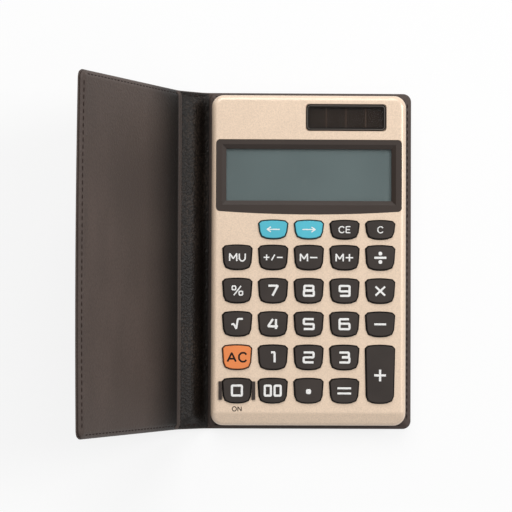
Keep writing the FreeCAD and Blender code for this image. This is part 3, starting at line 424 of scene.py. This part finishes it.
def moulded(name, colour, roughness, texture=0.25 * MM, spread=0.06, depth=0.01 * MM, painted_shade=(), **sockets):
    """Moulded plastic with a fine texture, a slight change of tone, and painted shade by height where given.
    """
    finish = Finish(name, roughness, **sockets)
    fine = finish.noise(texture)
    finish.shades(finish.noise(14 * MM, 2.0), colour, spread)
    # Painted shade: the colour is darkened by height where shadow falls.
    if painted_shade:
        finish.toned(painted_shade)
    finish.rough(fine, roughness - 0.05, roughness + 0.05)
    finish.bump(fine, depth, 0.35)
    return finish.material


def lacquered(name, colour):
    """Pearly gold lacquer: fine bright flecks under a clear coat."""
    finish = Finish(name, 0.36, metallic=0.1, coat_weight=0.2, coat_roughness=0.12)
    flecks = finish.noise(0.42 * MM, 3.0)
    finish.shades(flecks, colour, 0.1)
    finish.rough(finish.noise(9 * MM), 0.32, 0.42)
    finish.bump(flecks, 0.006 * MM, 0.3)
    return finish.material


def clear_plate(name):
    """Thin clear plastic with faint unevenness in its gloss."""
    finish = Finish(name, 0.08, alpha=0.06, ior=1.49)
    haze = finish.noise(6 * MM)
    finish.colours(haze, (0.02, 0.022, 0.022), (0.04, 0.042, 0.042))
    finish.rough(haze, 0.04, 0.1)
    return finish.material


def display_glass(name, colour):
    """Blank display: grey-green, a little lighter in patches."""
    finish = Finish(name, 0.22, specular_ior_level=0.2)
    finish.shades(finish.noise(30 * MM, 1.0), colour, 0.1)
    finish.rough(finish.noise(4 * MM), 0.18, 0.28)
    return finish.material


def solar_strips(name, middle, strip):
    """Dark strips of the solar cell, each strip wide, with thin lighter lines between them."""
    finish = Finish(name, 0.25, specular_ior_level=0.12)
    turns = 2 * math.pi / strip
    wave = finish.node("ShaderNodeTexWave", Scale=turns / 20)
    wave.inputs["Phase Offset"].default_value = (math.pi - turns * middle) % (2 * math.pi)
    wave.bands_direction = "X"
    finish.link(finish.place, wave.inputs["Vector"])
    lines = finish.add(wave.outputs["Fac"], finish.noise(1.5 * MM), -0.001)
    finish.colours(lines, (0.02, 0.0125, 0.0085), (0.07, 0.042, 0.026), 0.99, 0.998)
    finish.rough(finish.noise(3 * MM), 0.34, 0.42)
    return finish.material


def metal(name, colour):
    """Plated metal with fine drawn lines."""
    finish = Finish(name, 0.35, metallic=1.0)
    lines = finish.noise(0.6 * MM, 3.0, finish.stretched((1.0, 12.0, 12.0)))
    finish.shades(lines, colour, 0.12)
    finish.rough(lines, 0.28, 0.42)
    return finish.material


def printed(name, colour, gloss=0.5):
    """Printing ink, very slightly worn."""
    finish = Finish(name, 0.42, specular_ior_level=gloss)
    wear = finish.noise(0.5 * MM)
    finish.shades(wear, colour, 0.05)
    finish.rough(wear, 0.38, 0.5)
    return finish.material


def sewing_thread(name, colour):
    """Twisted thread."""
    finish = Finish(name, 0.6, specular_ior_level=0.15)
    twist = finish.noise(0.18 * MM, 2.0, finish.stretched((1.0, 3.0, 1.0)))
    finish.shades(twist, colour, 0.3)
    finish.bump(twist, 0.03 * MM)
    return finish.material


# Meshes

def new_piece(name, mesh, material, body, replaced=()):
    """An object with one material that rides on a body."""
    mesh.name = name
    mesh.materials.clear()
    mesh.materials.append(material)
    piece = bpy.data.objects.new(name, mesh)
    bpy.context.scene.collection.objects.link(piece)
    if body:
        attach(piece, body)
    if replaced:
        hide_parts(*replaced)
    return piece


def corners(node):
    """Lowest and highest corner of a solid's box."""
    return [Vector(corner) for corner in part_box(node)]


def middle_of(node):
    """Middle of a solid's box."""
    low, high = corners(node)
    return (low + high) / 2


def mesh_from(bm, smooth=True):
    """Ends a bmesh: outward faces, smooth or flat shading."""
    bmesh.ops.recalc_face_normals(bm, faces=bm.faces[:])
    for face in bm.faces:
        face.smooth = smooth
    mesh = bpy.data.meshes.new("piece")
    bm.to_mesh(mesh)
    bm.free()
    return mesh


def ease(value):
    """Soft step from 0 to 1."""
    value = min(max(value, 0.0), 1.0)
    return value * value * (3 - 2 * value)


def fold_point(at):
    """Point of the wallet's middle line and its inner normal, at a distance along the open wallet."""
    creases = (
        (BACK_CREASE_AT, BACK_CREASE, ALONG_BACK, ALONG_SPINE),
        (FRONT_CREASE_AT, FRONT_CREASE, ALONG_SPINE, ALONG_FLAP),
    )
    point = BACK_CREASE - ALONG_BACK * (BACK_CREASE_AT - at)
    along = ALONG_BACK
    for crease_at, corner, before, after in creases:
        beyond = at - crease_at
        if abs(beyond) < CREASE_SOFTNESS:
            share = (beyond / CREASE_SOFTNESS + 1) / 2
            start = corner - before * CREASE_SOFTNESS
            end = corner + after * CREASE_SOFTNESS
            point = start.lerp(corner, share).lerp(corner.lerp(end, share), share)
            along = before.lerp(after, share).normalized()
        elif beyond > 0:
            point = corner + after * beyond
            along = after
    return point, Vector((along.z, 0, -along.x))


def fold(bm):
    """Bends a flat bmesh, laid out as distance, length and height, onto the open wallet."""
    for vertex in bm.verts:
        at, y, height = vertex.co
        point, normal = fold_point(at)
        bow = FLAP_BOW * ease((at - FRONT_CREASE_AT) / BACK_CREASE_AT) * (1 - (y / HALF_LENGTH) ** 2)
        vertex.co = point + normal * (height - bow) + Vector((0, y, 0))


def gathered(share, amount):
    """Spreads even steps so that they lie closer at both ends."""
    return share - amount * math.sin(2 * math.pi * share) / (2 * math.pi)


class Sheet:
    """A leather layer of the wallet between two distances along it, with its free corners rounded."""

    edge = 0.55 * MM
    corner = 3.0 * MM
    groove = 0.09 * MM
    groove_width = 0.45 * MM
    edge_share = 0.3
    rows = 84
    gather_rows = 0.92
    gather_columns = 0.88

    def __init__(self, low, high, trim=0.0, low_edge=False, high_edge=False, columns=56):
        self.low, self.high = low, high
        self.half = HALF_LENGTH - trim
        self.low_edge, self.high_edge = low_edge, high_edge
        self.columns = columns

    def from_edge(self, at, y):
        """Distance to the nearest real edge."""
        gaps = [self.half - abs(y)]
        if self.low_edge:
            gaps.append(at - self.low)
        if self.high_edge:
            gaps.append(self.high - at)
        return min(gaps)

    def rounded(self, at, y):
        """Moves a point of the square corner into the round one."""
        radius = self.corner
        for edge, is_edge, way in ((self.low, self.low_edge, -1), (self.high, self.high_edge, 1)):
            across = ((at - edge) * way + radius) / radius
            up = (abs(y) - self.half + radius) / radius
            if is_edge and across > 0 and up > 0:
                new_across = across * math.sqrt(1 - up * up / 2)
                new_up = up * math.sqrt(1 - across * across / 2)
                at = edge + way * (new_across - 1) * radius
                y = math.copysign(self.half + (new_up - 1) * radius, y)
        return at, y

    def mesh(self, lower, upper, stitch_inset):
        """Closed shell between two heights; each takes the distance from the edge and along the wallet."""
        bm = bmesh.new()
        bmesh.ops.create_grid(bm, x_segments=self.columns, y_segments=self.rows, size=0.5)
        gather = self.gather_columns if self.low_edge or self.high_edge else 0.0
        for vertex in bm.verts:
            vertex.co.x = self.low + gathered(vertex.co.x + 0.5, gather) * (self.high - self.low)
            vertex.co.y = (gathered(vertex.co.y + 0.5, self.gather_rows) * 2 - 1) * self.half
        result = bmesh.ops.extrude_face_region(bm, geom=bm.faces[:])
        raised = {item for item in result["geom"] if isinstance(item, bmesh.types.BMVert)}
        ends = ((self.low, self.low_edge), (self.high, self.high_edge))
        cut_ends = [end for end, is_edge in ends if not is_edge]
        for edge in bm.edges:
            edge.smooth = not any(
                all(abs(vertex.co.x - end) < LAYER_GAP for vertex in edge.verts) for end in cut_ends)
        for vertex in bm.verts:
            at, y = vertex.co.x, vertex.co.y
            gap = self.from_edge(at, y)
            bottom, top = lower(gap, at), upper(gap, at)
            share = min(max(gap / self.edge, 0), 1)
            roundness = math.sqrt(1 - (1 - share) ** 2)
            half = (top - bottom) / 2 * (self.edge_share + (1 - self.edge_share) * roundness)
            half -= self.groove * math.exp(-((gap - stitch_inset) / self.groove_width) ** 2)
            side = 1 if vertex in raised else -1
            vertex.co = Vector((*self.rounded(at, y), (top + bottom) / 2 + side * half))
        fold(bm)
        return mesh_from(bm)


def stroke_line(curve, points):
    """Adds one line of a letter to a curve, with its corners rounded."""
    closed = points[0] == points[-1]
    corners = points[:-1] if closed else points
    controls = []
    for index, point in enumerate(corners):
        here = Vector(point)
        if not closed and index in (0, len(corners) - 1):
            controls.append(here)
            continue
        for other in (corners[index - 1], None, corners[(index + 1) % len(corners)]):
            way = Vector(other) - here if other else Vector((0, 0))
            reach = min(STROKE_ROUND, way.length / 2)
            controls.append(here + way.normalized() * reach if other else here)
    spline = curve.splines.new("NURBS")
    spline.points.add(len(controls) - 1)
    for target, control in zip(spline.points, controls):
        target.co = (control.x, control.y, 0, 1)
    spline.order_u = 3
    spline.use_cyclic_u = closed
    spline.use_endpoint_u = not closed
    spline.resolution_u = 3


def letters_mesh(text, height, stroke, narrow, centre):
    """Flat stroke letters about a centre, as a mesh."""
    curve = bpy.data.curves.new("letters", "CURVE")
    curve.dimensions = "3D"
    curve.bevel_depth = stroke / height / 2
    curve.bevel_resolution = 2
    curve.use_fill_caps = True
    gap = LETTER_GAP * math.sqrt(stroke / height / LETTER_STROKE)
    pen = 0.0
    for letter in text:
        width, lines = GLYPHS[letter]
        for line in lines:
            stroke_line(curve, [(pen + x * narrow, y) for x, y in line])
        pen += width * narrow + gap
    pen -= gap
    holder = bpy.data.objects.new("letters", curve)
    bpy.context.scene.collection.objects.link(holder)
    bpy.context.view_layer.update()
    mesh = bpy.data.meshes.new_from_object(holder.evaluated_get(bpy.context.evaluated_depsgraph_get()))
    bpy.data.objects.remove(holder)
    thin = INK_HEIGHT / (stroke / 2)
    to_place = Matrix.Translation(centre) @ Matrix.Diagonal((height, height, height * thin, 1))
    mesh.transform(to_place @ Matrix.Translation((-pen / 2, -0.5, 0)))
    return mesh


# Operators

def across_fold(name, mesh, material, replaced=()):
    """A leather piece laid across one crease, on no body."""
    piece = new_piece(name, mesh, material, None, replaced)
    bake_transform(piece)
    return piece


class WALLET_OT_outer_leather(bpy.types.Operator):
    """Outer leather of the back cover, the spine and the flap, bent softly at both creases"""

    bl_idname = "wallet.outer_leather"
    bl_label = "Outer Leather"

    def execute(self, context):
        sizes = context.scene.wallet_sizes
        material = leatherette("brown_leatherette", sizes.leather, sizes.grain, GRAIN_DEPTH)
        back_end = BACK_CREASE_AT - BEND_REACH
        flap_start = FRONT_CREASE_AT + BEND_REACH
        inset = sizes.stitch_inset
        back = Sheet(0, back_end, low_edge=True).mesh(*SKIN, inset)
        new_piece("back_cover_leather", back, material, "back_cover", ["back_cover_skin"])
        flap = Sheet(flap_start, FLAP_EDGE_AT, high_edge=True).mesh(*SKIN, inset)
        new_piece("flap_leather", flap, material, "front_cover", ["front_cover_skin"])
        lower = Sheet(back_end, SPINE_MIDDLE_AT, columns=22).mesh(*SKIN, inset)
        across_fold("lower_spine_leather", lower, material, ["spine_skin"])
        upper = Sheet(SPINE_MIDDLE_AT, flap_start, columns=22).mesh(*SKIN, inset)
        across_fold("upper_spine_leather", upper, material)
        return {"FINISHED"}


def over_board(room):
    """Height of an inner sheet's underside: on the skin at its sewn edge, over the board further in."""
    start, run = 1.9 * MM, 0.9 * MM

    def height(gap, at):
        return HALF_SKIN + LAYER_GAP + (BOARD_THICKNESS + room) * ease((gap - start) / run)

    return height


def inner_face(room):
    """Height of an inner sheet's face: low along its sewn rim, nearly flat further in."""

    def height(gap, at):
        rim = RIM_SHARE * ease((gap + RIM_SHIFT) / RIM_RUN) + (1 - RIM_SHARE) * ease(gap / PAD_RUN)
        return HALF_SKIN + LAYER_GAP + LAYER + (BOARD_THICKNESS + room) * rim

    return height


class WALLET_OT_inner_leather(bpy.types.Operator):
    """Inner leather: the sheet under the calculator and the black rolled strip of the spine"""

    bl_idname = "wallet.inner_leather"
    bl_label = "Inner Leather"

    def execute(self, context):
        sizes = context.scene.wallet_sizes
        brown = bpy.data.materials["brown_leatherette"]
        black = leatherette(
            "black_leatherette", sizes.spine, sizes.grain, 0.4 * MM, roughness=0.36, gloss=0.2, spread=0.75,
            contrast=0.6)
        sheet = Sheet(FREE_TRIM, BACK_CREASE_AT - CREASE_MARGIN, FREE_TRIM, low_edge=True, high_edge=True)
        mesh = sheet.mesh(over_board(0.0), inner_face(0.0), sizes.stitch_inset - FREE_TRIM)
        piece = new_piece("back_cover_inner_leather", mesh, brown, "back_cover", ["back_cover_lining"])

        width = FRONT_CREASE_AT - BACK_CREASE_AT
        floor = HALF_SKIN + LAYER_GAP

        def rolled(gap, at):
            share = min(max((at - BACK_CREASE_AT) / width, 0), 1)
            rise = CROWN * ease((gap - FLAT_END) / FLAT_RUN)
            return floor + LAYER + rise * math.sin(math.pi * share ** CROWN_LEAN) ** 2

        ends = (BACK_CREASE_AT - SPINE_OVERLAP, SPINE_MIDDLE_AT, FRONT_CREASE_AT + SPINE_OVERLAP)
        halves = (
            ("lower_spine_strip", "spine_fold", ["spine_lining"]),
            ("upper_spine_strip", "cover_fold", []),
        )
        for (name, joint, replaced), low, high in zip(halves, ends, ends[1:]):
            strip = Sheet(low, high, FREE_TRIM, columns=20)
            mesh = strip.mesh(lambda gap, at: floor, rolled, sizes.stitch_inset - FREE_TRIM)
            across_fold(name, mesh, black, replaced)
        return {"FINISHED"}


class WALLET_OT_card_pocket(bpy.types.Operator):
    """Inner sheet of the flap, sewn on three sides, with its folded hem along the spine"""

    bl_idname = "wallet.card_pocket"
    bl_label = "Card Pocket"

    def execute(self, context):
        sizes = context.scene.wallet_sizes
        start = FRONT_CREASE_AT + CREASE_MARGIN
        face = inner_face(CARD_ROOM)

        def top(gap, at):
            into = min((at - start) / HEM_WIDTH, 1)
            return face(gap, at) + HEM_HEIGHT * abs(math.sin(2 * math.pi * into))

        sheet = Sheet(start, FLAP_EDGE_AT - FREE_TRIM, FREE_TRIM, high_edge=True, columns=90)
        mesh = sheet.mesh(over_board(CARD_ROOM), top, sizes.stitch_inset - FREE_TRIM)
        # The pocket's colour carries painted shade by height: dark in the hem's grooves and near the spine.
        leather = leatherette(
            "pocket_leatherette", sizes.leather, sizes.grain, GRAIN_DEPTH, painted_shade=POCKET_PAINTED_SHADE)
        piece = new_piece("card_pocket", mesh, leather, "front_cover", ["front_cover_pocket"])
        return {"FINISHED"}


class WALLET_OT_stitching(bpy.types.Operator):
    """Rows of stitches round three sides of both covers and over the spine's ends, inside and outside"""

    bl_idname = "wallet.stitching"
    bl_label = "Stitching"

    def execute(self, context):
        sizes = context.scene.wallet_sizes
        thread = sewing_thread("sewing_thread", sizes.thread)
        inset = sizes.stitch_inset
        side = HALF_LENGTH - inset
        outside = -HALF_SKIN + THREAD_HEIGHT
        covers = (
            ("back_cover_stitches", "back_cover", inset, BACK_CREASE_AT - CREASE_SPARE, 0.0),
            ("flap_stitches", "front_cover", FLAP_EDGE_AT - inset, FRONT_CREASE_AT + CREASE_SPARE, CARD_ROOM),
        )
        for name, body, edge, inner_end, room in covers:
            bm = bmesh.new()
            inside = inner_face(room)(inset - FREE_TRIM, edge) - Sheet.groove / 2
            for z in (inside, outside):
                self.row(bm, sizes, Vector((edge, -side, z)), Vector((edge, side, z)))
                for y in (-side, side):
                    self.row(bm, sizes, Vector((edge, y, z)), Vector((inner_end, y, z)))
            fold(bm)
            new_piece(name, mesh_from(bm), thread, body)
        bm = bmesh.new()
        start, end = BACK_CREASE_AT + CREASE_SPARE, FRONT_CREASE_AT - CREASE_SPARE
        for z in (HALF_SKIN + LAYER_GAP + LAYER, outside):
            for y in (-side, side):
                self.row(bm, sizes, Vector((start, y, z)), Vector((end, y, z)))
        fold(bm)
        new_piece("spine_stitches", mesh_from(bm), thread, "spine")
        return {"FINISHED"}

    def row(self, bm, sizes, start, end):
        """Stitches from start to end, leaving the corners free."""
        run = end - start
        sewn = run.length - 2 * ROW_END
        count = round(sewn / sizes.stitch_step)
        turn = run.to_track_quat("X", "Z").to_matrix().to_4x4()
        half = Matrix.Diagonal((sizes.stitch_length / 2, THREAD_WIDTH, THREAD_HEIGHT, 1))
        for index in range(count):
            place = start + run.normalized() * (ROW_END + sewn * (index + 0.5) / count)
            bmesh.ops.create_uvsphere(
                bm, u_segments=6, v_segments=4, radius=1, matrix=Matrix.Translation(place) @ turn @ half)


class CALCULATOR_OT_finishes(bpy.types.Operator):
    """Plastics, glass and metal of the calculator's own pieces"""

    bl_idname = "calculator.finishes"
    bl_label = "Finishes"

    def execute(self, context):
        tint = context.scene.calculator_colours
        key_top = corners("key_7")[1].z
        # Painted shade: the keys' sides and the foot of their top edge are painted dark, standing in for the
        # shadow in the gap round each key.
        skirt = [(key_top - depth * MM, tone) for depth, tone in KEY_SKIRT_SHADE]
        made = {
            "gold_plastic": lacquered("gold_lacquer", tint.case),
            "dark_plastic": moulded("dark_plastic", (0.036, 0.025, 0.02), 0.4, specular_ior_level=0.28),
            "key_plastic": moulded(
                "key_plastic", tint.keys, 0.42, spread=0.2, painted_shade=skirt, specular_ior_level=0.22),
            "cyan_plastic": moulded("cyan_plastic", tint.check_keys, 0.42, painted_shade=skirt),
            "orange_plastic": moulded("orange_plastic", tint.clear_key, 0.42, painted_shade=skirt),
            "clear_plastic": clear_plate("clear_plastic"),
            "lcd_glass": display_glass("display_glass", tint.display),
            "solar_glass": solar_strips("solar_strips", middle_of("solar_cell").x, SOLAR_STRIP),
            "grey_board": moulded("grey_board", (0.42, 0.4, 0.37), 0.85, 0.6 * MM, 0.12, 0.05 * MM),
            "foam_tape": moulded("foam_tape", (0.8, 0.8, 0.78), 0.8, 0.5 * MM, 0.05, 0.05 * MM),
            "board_laminate": moulded("board_laminate", (0.4, 0.28, 0.1), 0.5, 0.8 * MM, 0.12),
            "epoxy": moulded("epoxy", (0.02, 0.02, 0.02), 0.3, 1.5 * MM),
            "silicone": moulded("silicone", (0.5, 0.5, 0.48), 0.6, 0.4 * MM),
            "steel": metal("plated_steel", (0.6, 0.59, 0.57)),
            "tinned_strip": metal("tinned_strip", (0.66, 0.64, 0.6)),
            "foam": moulded("foam", (0.09, 0.09, 0.09), 0.9, 0.5 * MM, 0.2, 0.1 * MM),
        }
        for row in frame["record"]["subparts"]:
            material = made.get(row["material_slot"])
            if material:
                for slot in frame["nodes"][row["node"]].material_slots:
                    slot.material = material
        return {"FINISHED"}


class CALCULATOR_OT_legends(bpy.types.Operator):
    """Printed signs on the keys and beside the key that switches on"""

    bl_idname = "calculator.legends"
    bl_label = "Legends"

    def execute(self, context):
        tint = context.scene.calculator_colours
        pale = printed("pale_ink", tint.legends)
        dark = printed("dark_ink", (0.016, 0.011, 0.009), 0.1)
        for node, (text, height, stroke, lower) in LEGENDS.items():
            centre = middle_of(node) - Vector((0, lower * MM, 0))
            centre.z = corners(node)[1].z
            mesh = letters_mesh(text, height * MM, stroke * MM, NARROW.get(node, 1.0), centre)
            ink = dark if node in DARK_INK_KEYS else pale
            new_piece("legend_" + node, mesh, ink, node)
        below_key = corners("key_0")[0].y - ON_SIGN_DROP
        centre = Vector((middle_of("key_0").x, below_key, corners("top_case")[1].z))
        mesh = letters_mesh("ON", *ON_SIGN, 1.0, centre)
        new_piece("legend_on", mesh, dark, "back_cover")
        return {"FINISHED"}


class CALCULATOR_OT_solar_border(bpy.types.Operator):
    """Dark border printed on the solar window, with a fine pale line in it"""

    bl_idname = "calculator.solar_border"
    bl_label = "Solar Border"

    def execute(self, context):
        rings = (
            ("solar_border", "border_ink", (0.008, 0.006, 0.005), 0.1 * MM, 1.2 * MM, 1.0),
            ("solar_border_line", "border_line_ink", (0.2, 0.18, 0.16), 0.55 * MM, 0.14 * MM, 2.0),
        )
        for name, ink, colour, start, width, layer in rings:
            mesh = self.ring(start, width, INK_HEIGHT * layer)
            new_piece(name, mesh, printed(ink, colour, 0.1), "back_cover")
        return {"FINISHED"}

    def ring(self, start, width, height):
        """Thin ring inside the window's outline, with round corners."""
        low, high = corners("solar_window")
        size = (high - low) - Vector((start * 2, start * 2, 0))
        middle = (low + high) / 2
        bm = bmesh.new()
        bmesh.ops.create_grid(bm, x_segments=1, y_segments=1, size=0.5)
        bmesh.ops.scale(bm, vec=(size.x, size.y, 1), verts=bm.verts[:])
        bmesh.ops.translate(bm, vec=(middle.x, middle.y, high.z + height), verts=bm.verts[:])
        bmesh.ops.bevel(
            bm, geom=bm.verts[:], offset=SOLAR_CORNER - start, segments=6, profile=0.5, affect="VERTICES",
            material=-1)
        rim = bmesh.ops.inset_region(
            bm, faces=bm.faces[:], thickness=width, use_boundary=True, use_even_offset=True)["faces"]
        bmesh.ops.delete(bm, geom=[face for face in bm.faces if face not in rim], context="FACES")
        bmesh.ops.solidify(bm, geom=bm.faces[:], thickness=INK_HEIGHT)
        return mesh_from(bm, smooth=False)


class CALCULATOR_OT_rubber_mat(bpy.types.Operator):
    """Rubber sheet under the keys and the domes on it, one under each key"""

    bl_idname = "calculator.rubber_mat"
    bl_label = "Rubber Mat"

    def execute(self, context):
        rubber = bpy.data.materials["silicone"]
        low, high = corners("key_mat")
        sheet_top = low.z + MAT_SHEET
        bm = bmesh.new()
        bmesh.ops.create_cube(bm, size=1.0)
        bmesh.ops.scale(bm, vec=(high.x - low.x, high.y - low.y, MAT_SHEET), verts=bm.verts[:])
        bmesh.ops.translate(bm, vec=(0, (low.y + high.y) / 2, low.z + MAT_SHEET / 2), verts=bm.verts[:])
        upright = [
            edge for edge in bm.edges if abs(edge.verts[0].co.z - edge.verts[1].co.z) > MAT_SHEET / 2]
        bmesh.ops.bevel(
            bm, geom=upright, offset=MAT_CORNER, segments=4, profile=0.5, affect="EDGES", material=-1)
        sheet = new_piece("rubber_mat", mesh_from(bm, smooth=False), rubber, "back_cover", ["key_mat"])
        for key in LEGENDS:
            foot = middle_of(key)
            foot.z = sheet_top
            dome = new_piece("dome_" + key, self.dome(foot, high.z - sheet_top), rubber, "back_cover")
            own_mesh(dome)
        return {"FINISHED"}

    def dome(self, foot, height):
        """Rubber dome: a sloped skirt with a rounded shoulder."""
        bm = bmesh.new()
        bmesh.ops.create_cone(
            bm, cap_ends=True, segments=16, radius1=DOME_FOOT, radius2=DOME_TOP, depth=height,
            matrix=Matrix.Translation(foot + Vector((0, 0, height / 2))))
        middle = foot.z + height / 2
        shoulder = [edge for edge in bm.edges if all(vertex.co.z > middle for vertex in edge.verts)]
        bmesh.ops.bevel(
            bm, geom=shoulder, offset=DOME_ROUND, segments=2, profile=0.5, affect="EDGES", material=-1)
        return mesh_from(bm)


class STAGE_OT_studio(bpy.types.Operator):
    """Pale floor, soft lamps and the camera"""

    bl_idname = "stage.studio"
    bl_label = "Studio"

    def execute(self, context):
        stage = context.scene.studio_stage
        self.floor(stage)
        self.sky(stage)
        for name, place, size, share in LAMPS:
            lamp = bpy.data.lights.new(name, "AREA")
            lamp.shape = "DISK"
            lamp.size = size
            lamp.energy = stage.lamp_power * share
            holder = bpy.data.objects.new(name, lamp)
            holder.location = place
            holder.rotation_euler = (-Vector(place)).to_track_quat("-Z", "Y").to_euler()
            context.scene.collection.objects.link(holder)
        self.camera(context.scene, stage)
        context.scene.view_settings.view_transform = "Standard"
        return {"FINISHED"}

    def seen(self, tree):
        """1 where the camera, a reflection or a clear piece looks at it."""
        path = tree.nodes.new("ShaderNodeLightPath")
        total = path.outputs["Is Camera Ray"]
        for ray in ("Is Glossy Ray", "Is Transmission Ray"):
            node = tree.nodes.new("ShaderNodeMath")
            node.operation = "MAXIMUM"
            tree.links.new(total, node.inputs[0])
            tree.links.new(path.outputs[ray], node.inputs[1])
            total = node.outputs["Value"]
        return total

    def floor(self, stage):
        """Floor that looks white and still takes the shadow."""
        bm = bmesh.new()
        bmesh.ops.create_grid(bm, x_segments=1, y_segments=1, size=FLOOR_SIZE)
        finish = Finish("pale_floor", 0.9)
        finish.shades(finish.noise(0.4, 2.0), stage.floor, 0.01)
        glow = finish.node("ShaderNodeEmission", Strength=1.0)
        mix = finish.node("ShaderNodeMixShader")
        part = finish.node("ShaderNodeMath")
        part.operation = "MULTIPLY"
        part.inputs[1].default_value = FLOOR_GLOW
        finish.link(self.seen(finish.tree), part.inputs[0])
        finish.link(part.outputs["Value"], mix.inputs["Fac"])
        finish.link(finish.shader.outputs["BSDF"], mix.inputs[1])
        finish.link(glow.outputs["Emission"], mix.inputs[2])
        finish.link(mix.outputs["Shader"], finish.tree.nodes["Material Output"].inputs["Surface"])
        floor = bpy.data.objects.new("floor", mesh_from(bm, smooth=False))
        floor.data.materials.append(finish.material)
        bpy.context.scene.collection.objects.link(floor)

    def sky(self, stage):
        """White surroundings that light the part more weakly than they look."""
        world = bpy.data.worlds.new("studio")
        world.use_nodes = True
        tree = world.node_tree
        background = tree.nodes["Background"]
        background.inputs["Color"].default_value = (1, 1, 1, 1)
        strength = tree.nodes.new("ShaderNodeMapRange")
        strength.inputs["To Min"].default_value = stage.sky
        strength.inputs["To Max"].default_value = 1.0
        tree.links.new(self.seen(tree), strength.inputs["Value"])
        tree.links.new(strength.outputs["Result"], background.inputs["Strength"])
        bpy.context.scene.world = world

    def camera(self, scene, stage):
        """Camera above the wallet."""
        camera = bpy.data.cameras.new("camera")
        camera.angle = stage.view_angle
        holder = bpy.data.objects.new("camera", camera)
        holder.location = CAMERA_PLACE
        holder.rotation_euler = [math.radians(turn) for turn in CAMERA_TURN]
        scene.collection.objects.link(holder)
        scene.camera = holder


class VIEW3D_PT_wallet_calculator(bpy.types.Panel):
    """Lists the pieces and their sizes"""

    bl_label = "Wallet Calculator"
    bl_idname = "VIEW3D_PT_wallet_calculator"
    bl_space_type = "VIEW_3D"
    bl_region_type = "UI"
    bl_category = "Wallet Calculator"

    def draw(self, context):
        for group in ("wallet_sizes", "calculator_colours", "studio_stage"):
            settings = getattr(context.scene, group)
            for name in settings.__annotations__:
                self.layout.prop(settings, name)
        for operator in OPERATORS:
            self.layout.operator(operator.bl_idname)


OPERATORS = (
    WALLET_OT_outer_leather,
    WALLET_OT_inner_leather,
    WALLET_OT_card_pocket,
    WALLET_OT_stitching,
    CALCULATOR_OT_finishes,
    CALCULATOR_OT_legends,
    CALCULATOR_OT_solar_border,
    CALCULATOR_OT_rubber_mat,
    STAGE_OT_studio,
)
GROUPS = {
    "wallet_sizes": WalletSizes,
    "calculator_colours": CalculatorColours,
    "studio_stage": StageSettings,
}
CLASSES = (*GROUPS.values(), *OPERATORS, VIEW3D_PT_wallet_calculator)


def register():
    for made in CLASSES:
        bpy.utils.register_class(made)
    for name, group in GROUPS.items():
        setattr(bpy.types.Scene, name, PointerProperty(type=group))


def unregister():
    for name in GROUPS:
        delattr(bpy.types.Scene, name)
    for made in reversed(CLASSES):
        bpy.utils.unregister_class(made)


def main():
    register()
    for operator in OPERATORS:
        category, name = operator.bl_idname.split(".")
        getattr(getattr(bpy.ops, category), name)()


if __name__ == "__main__":
    main()
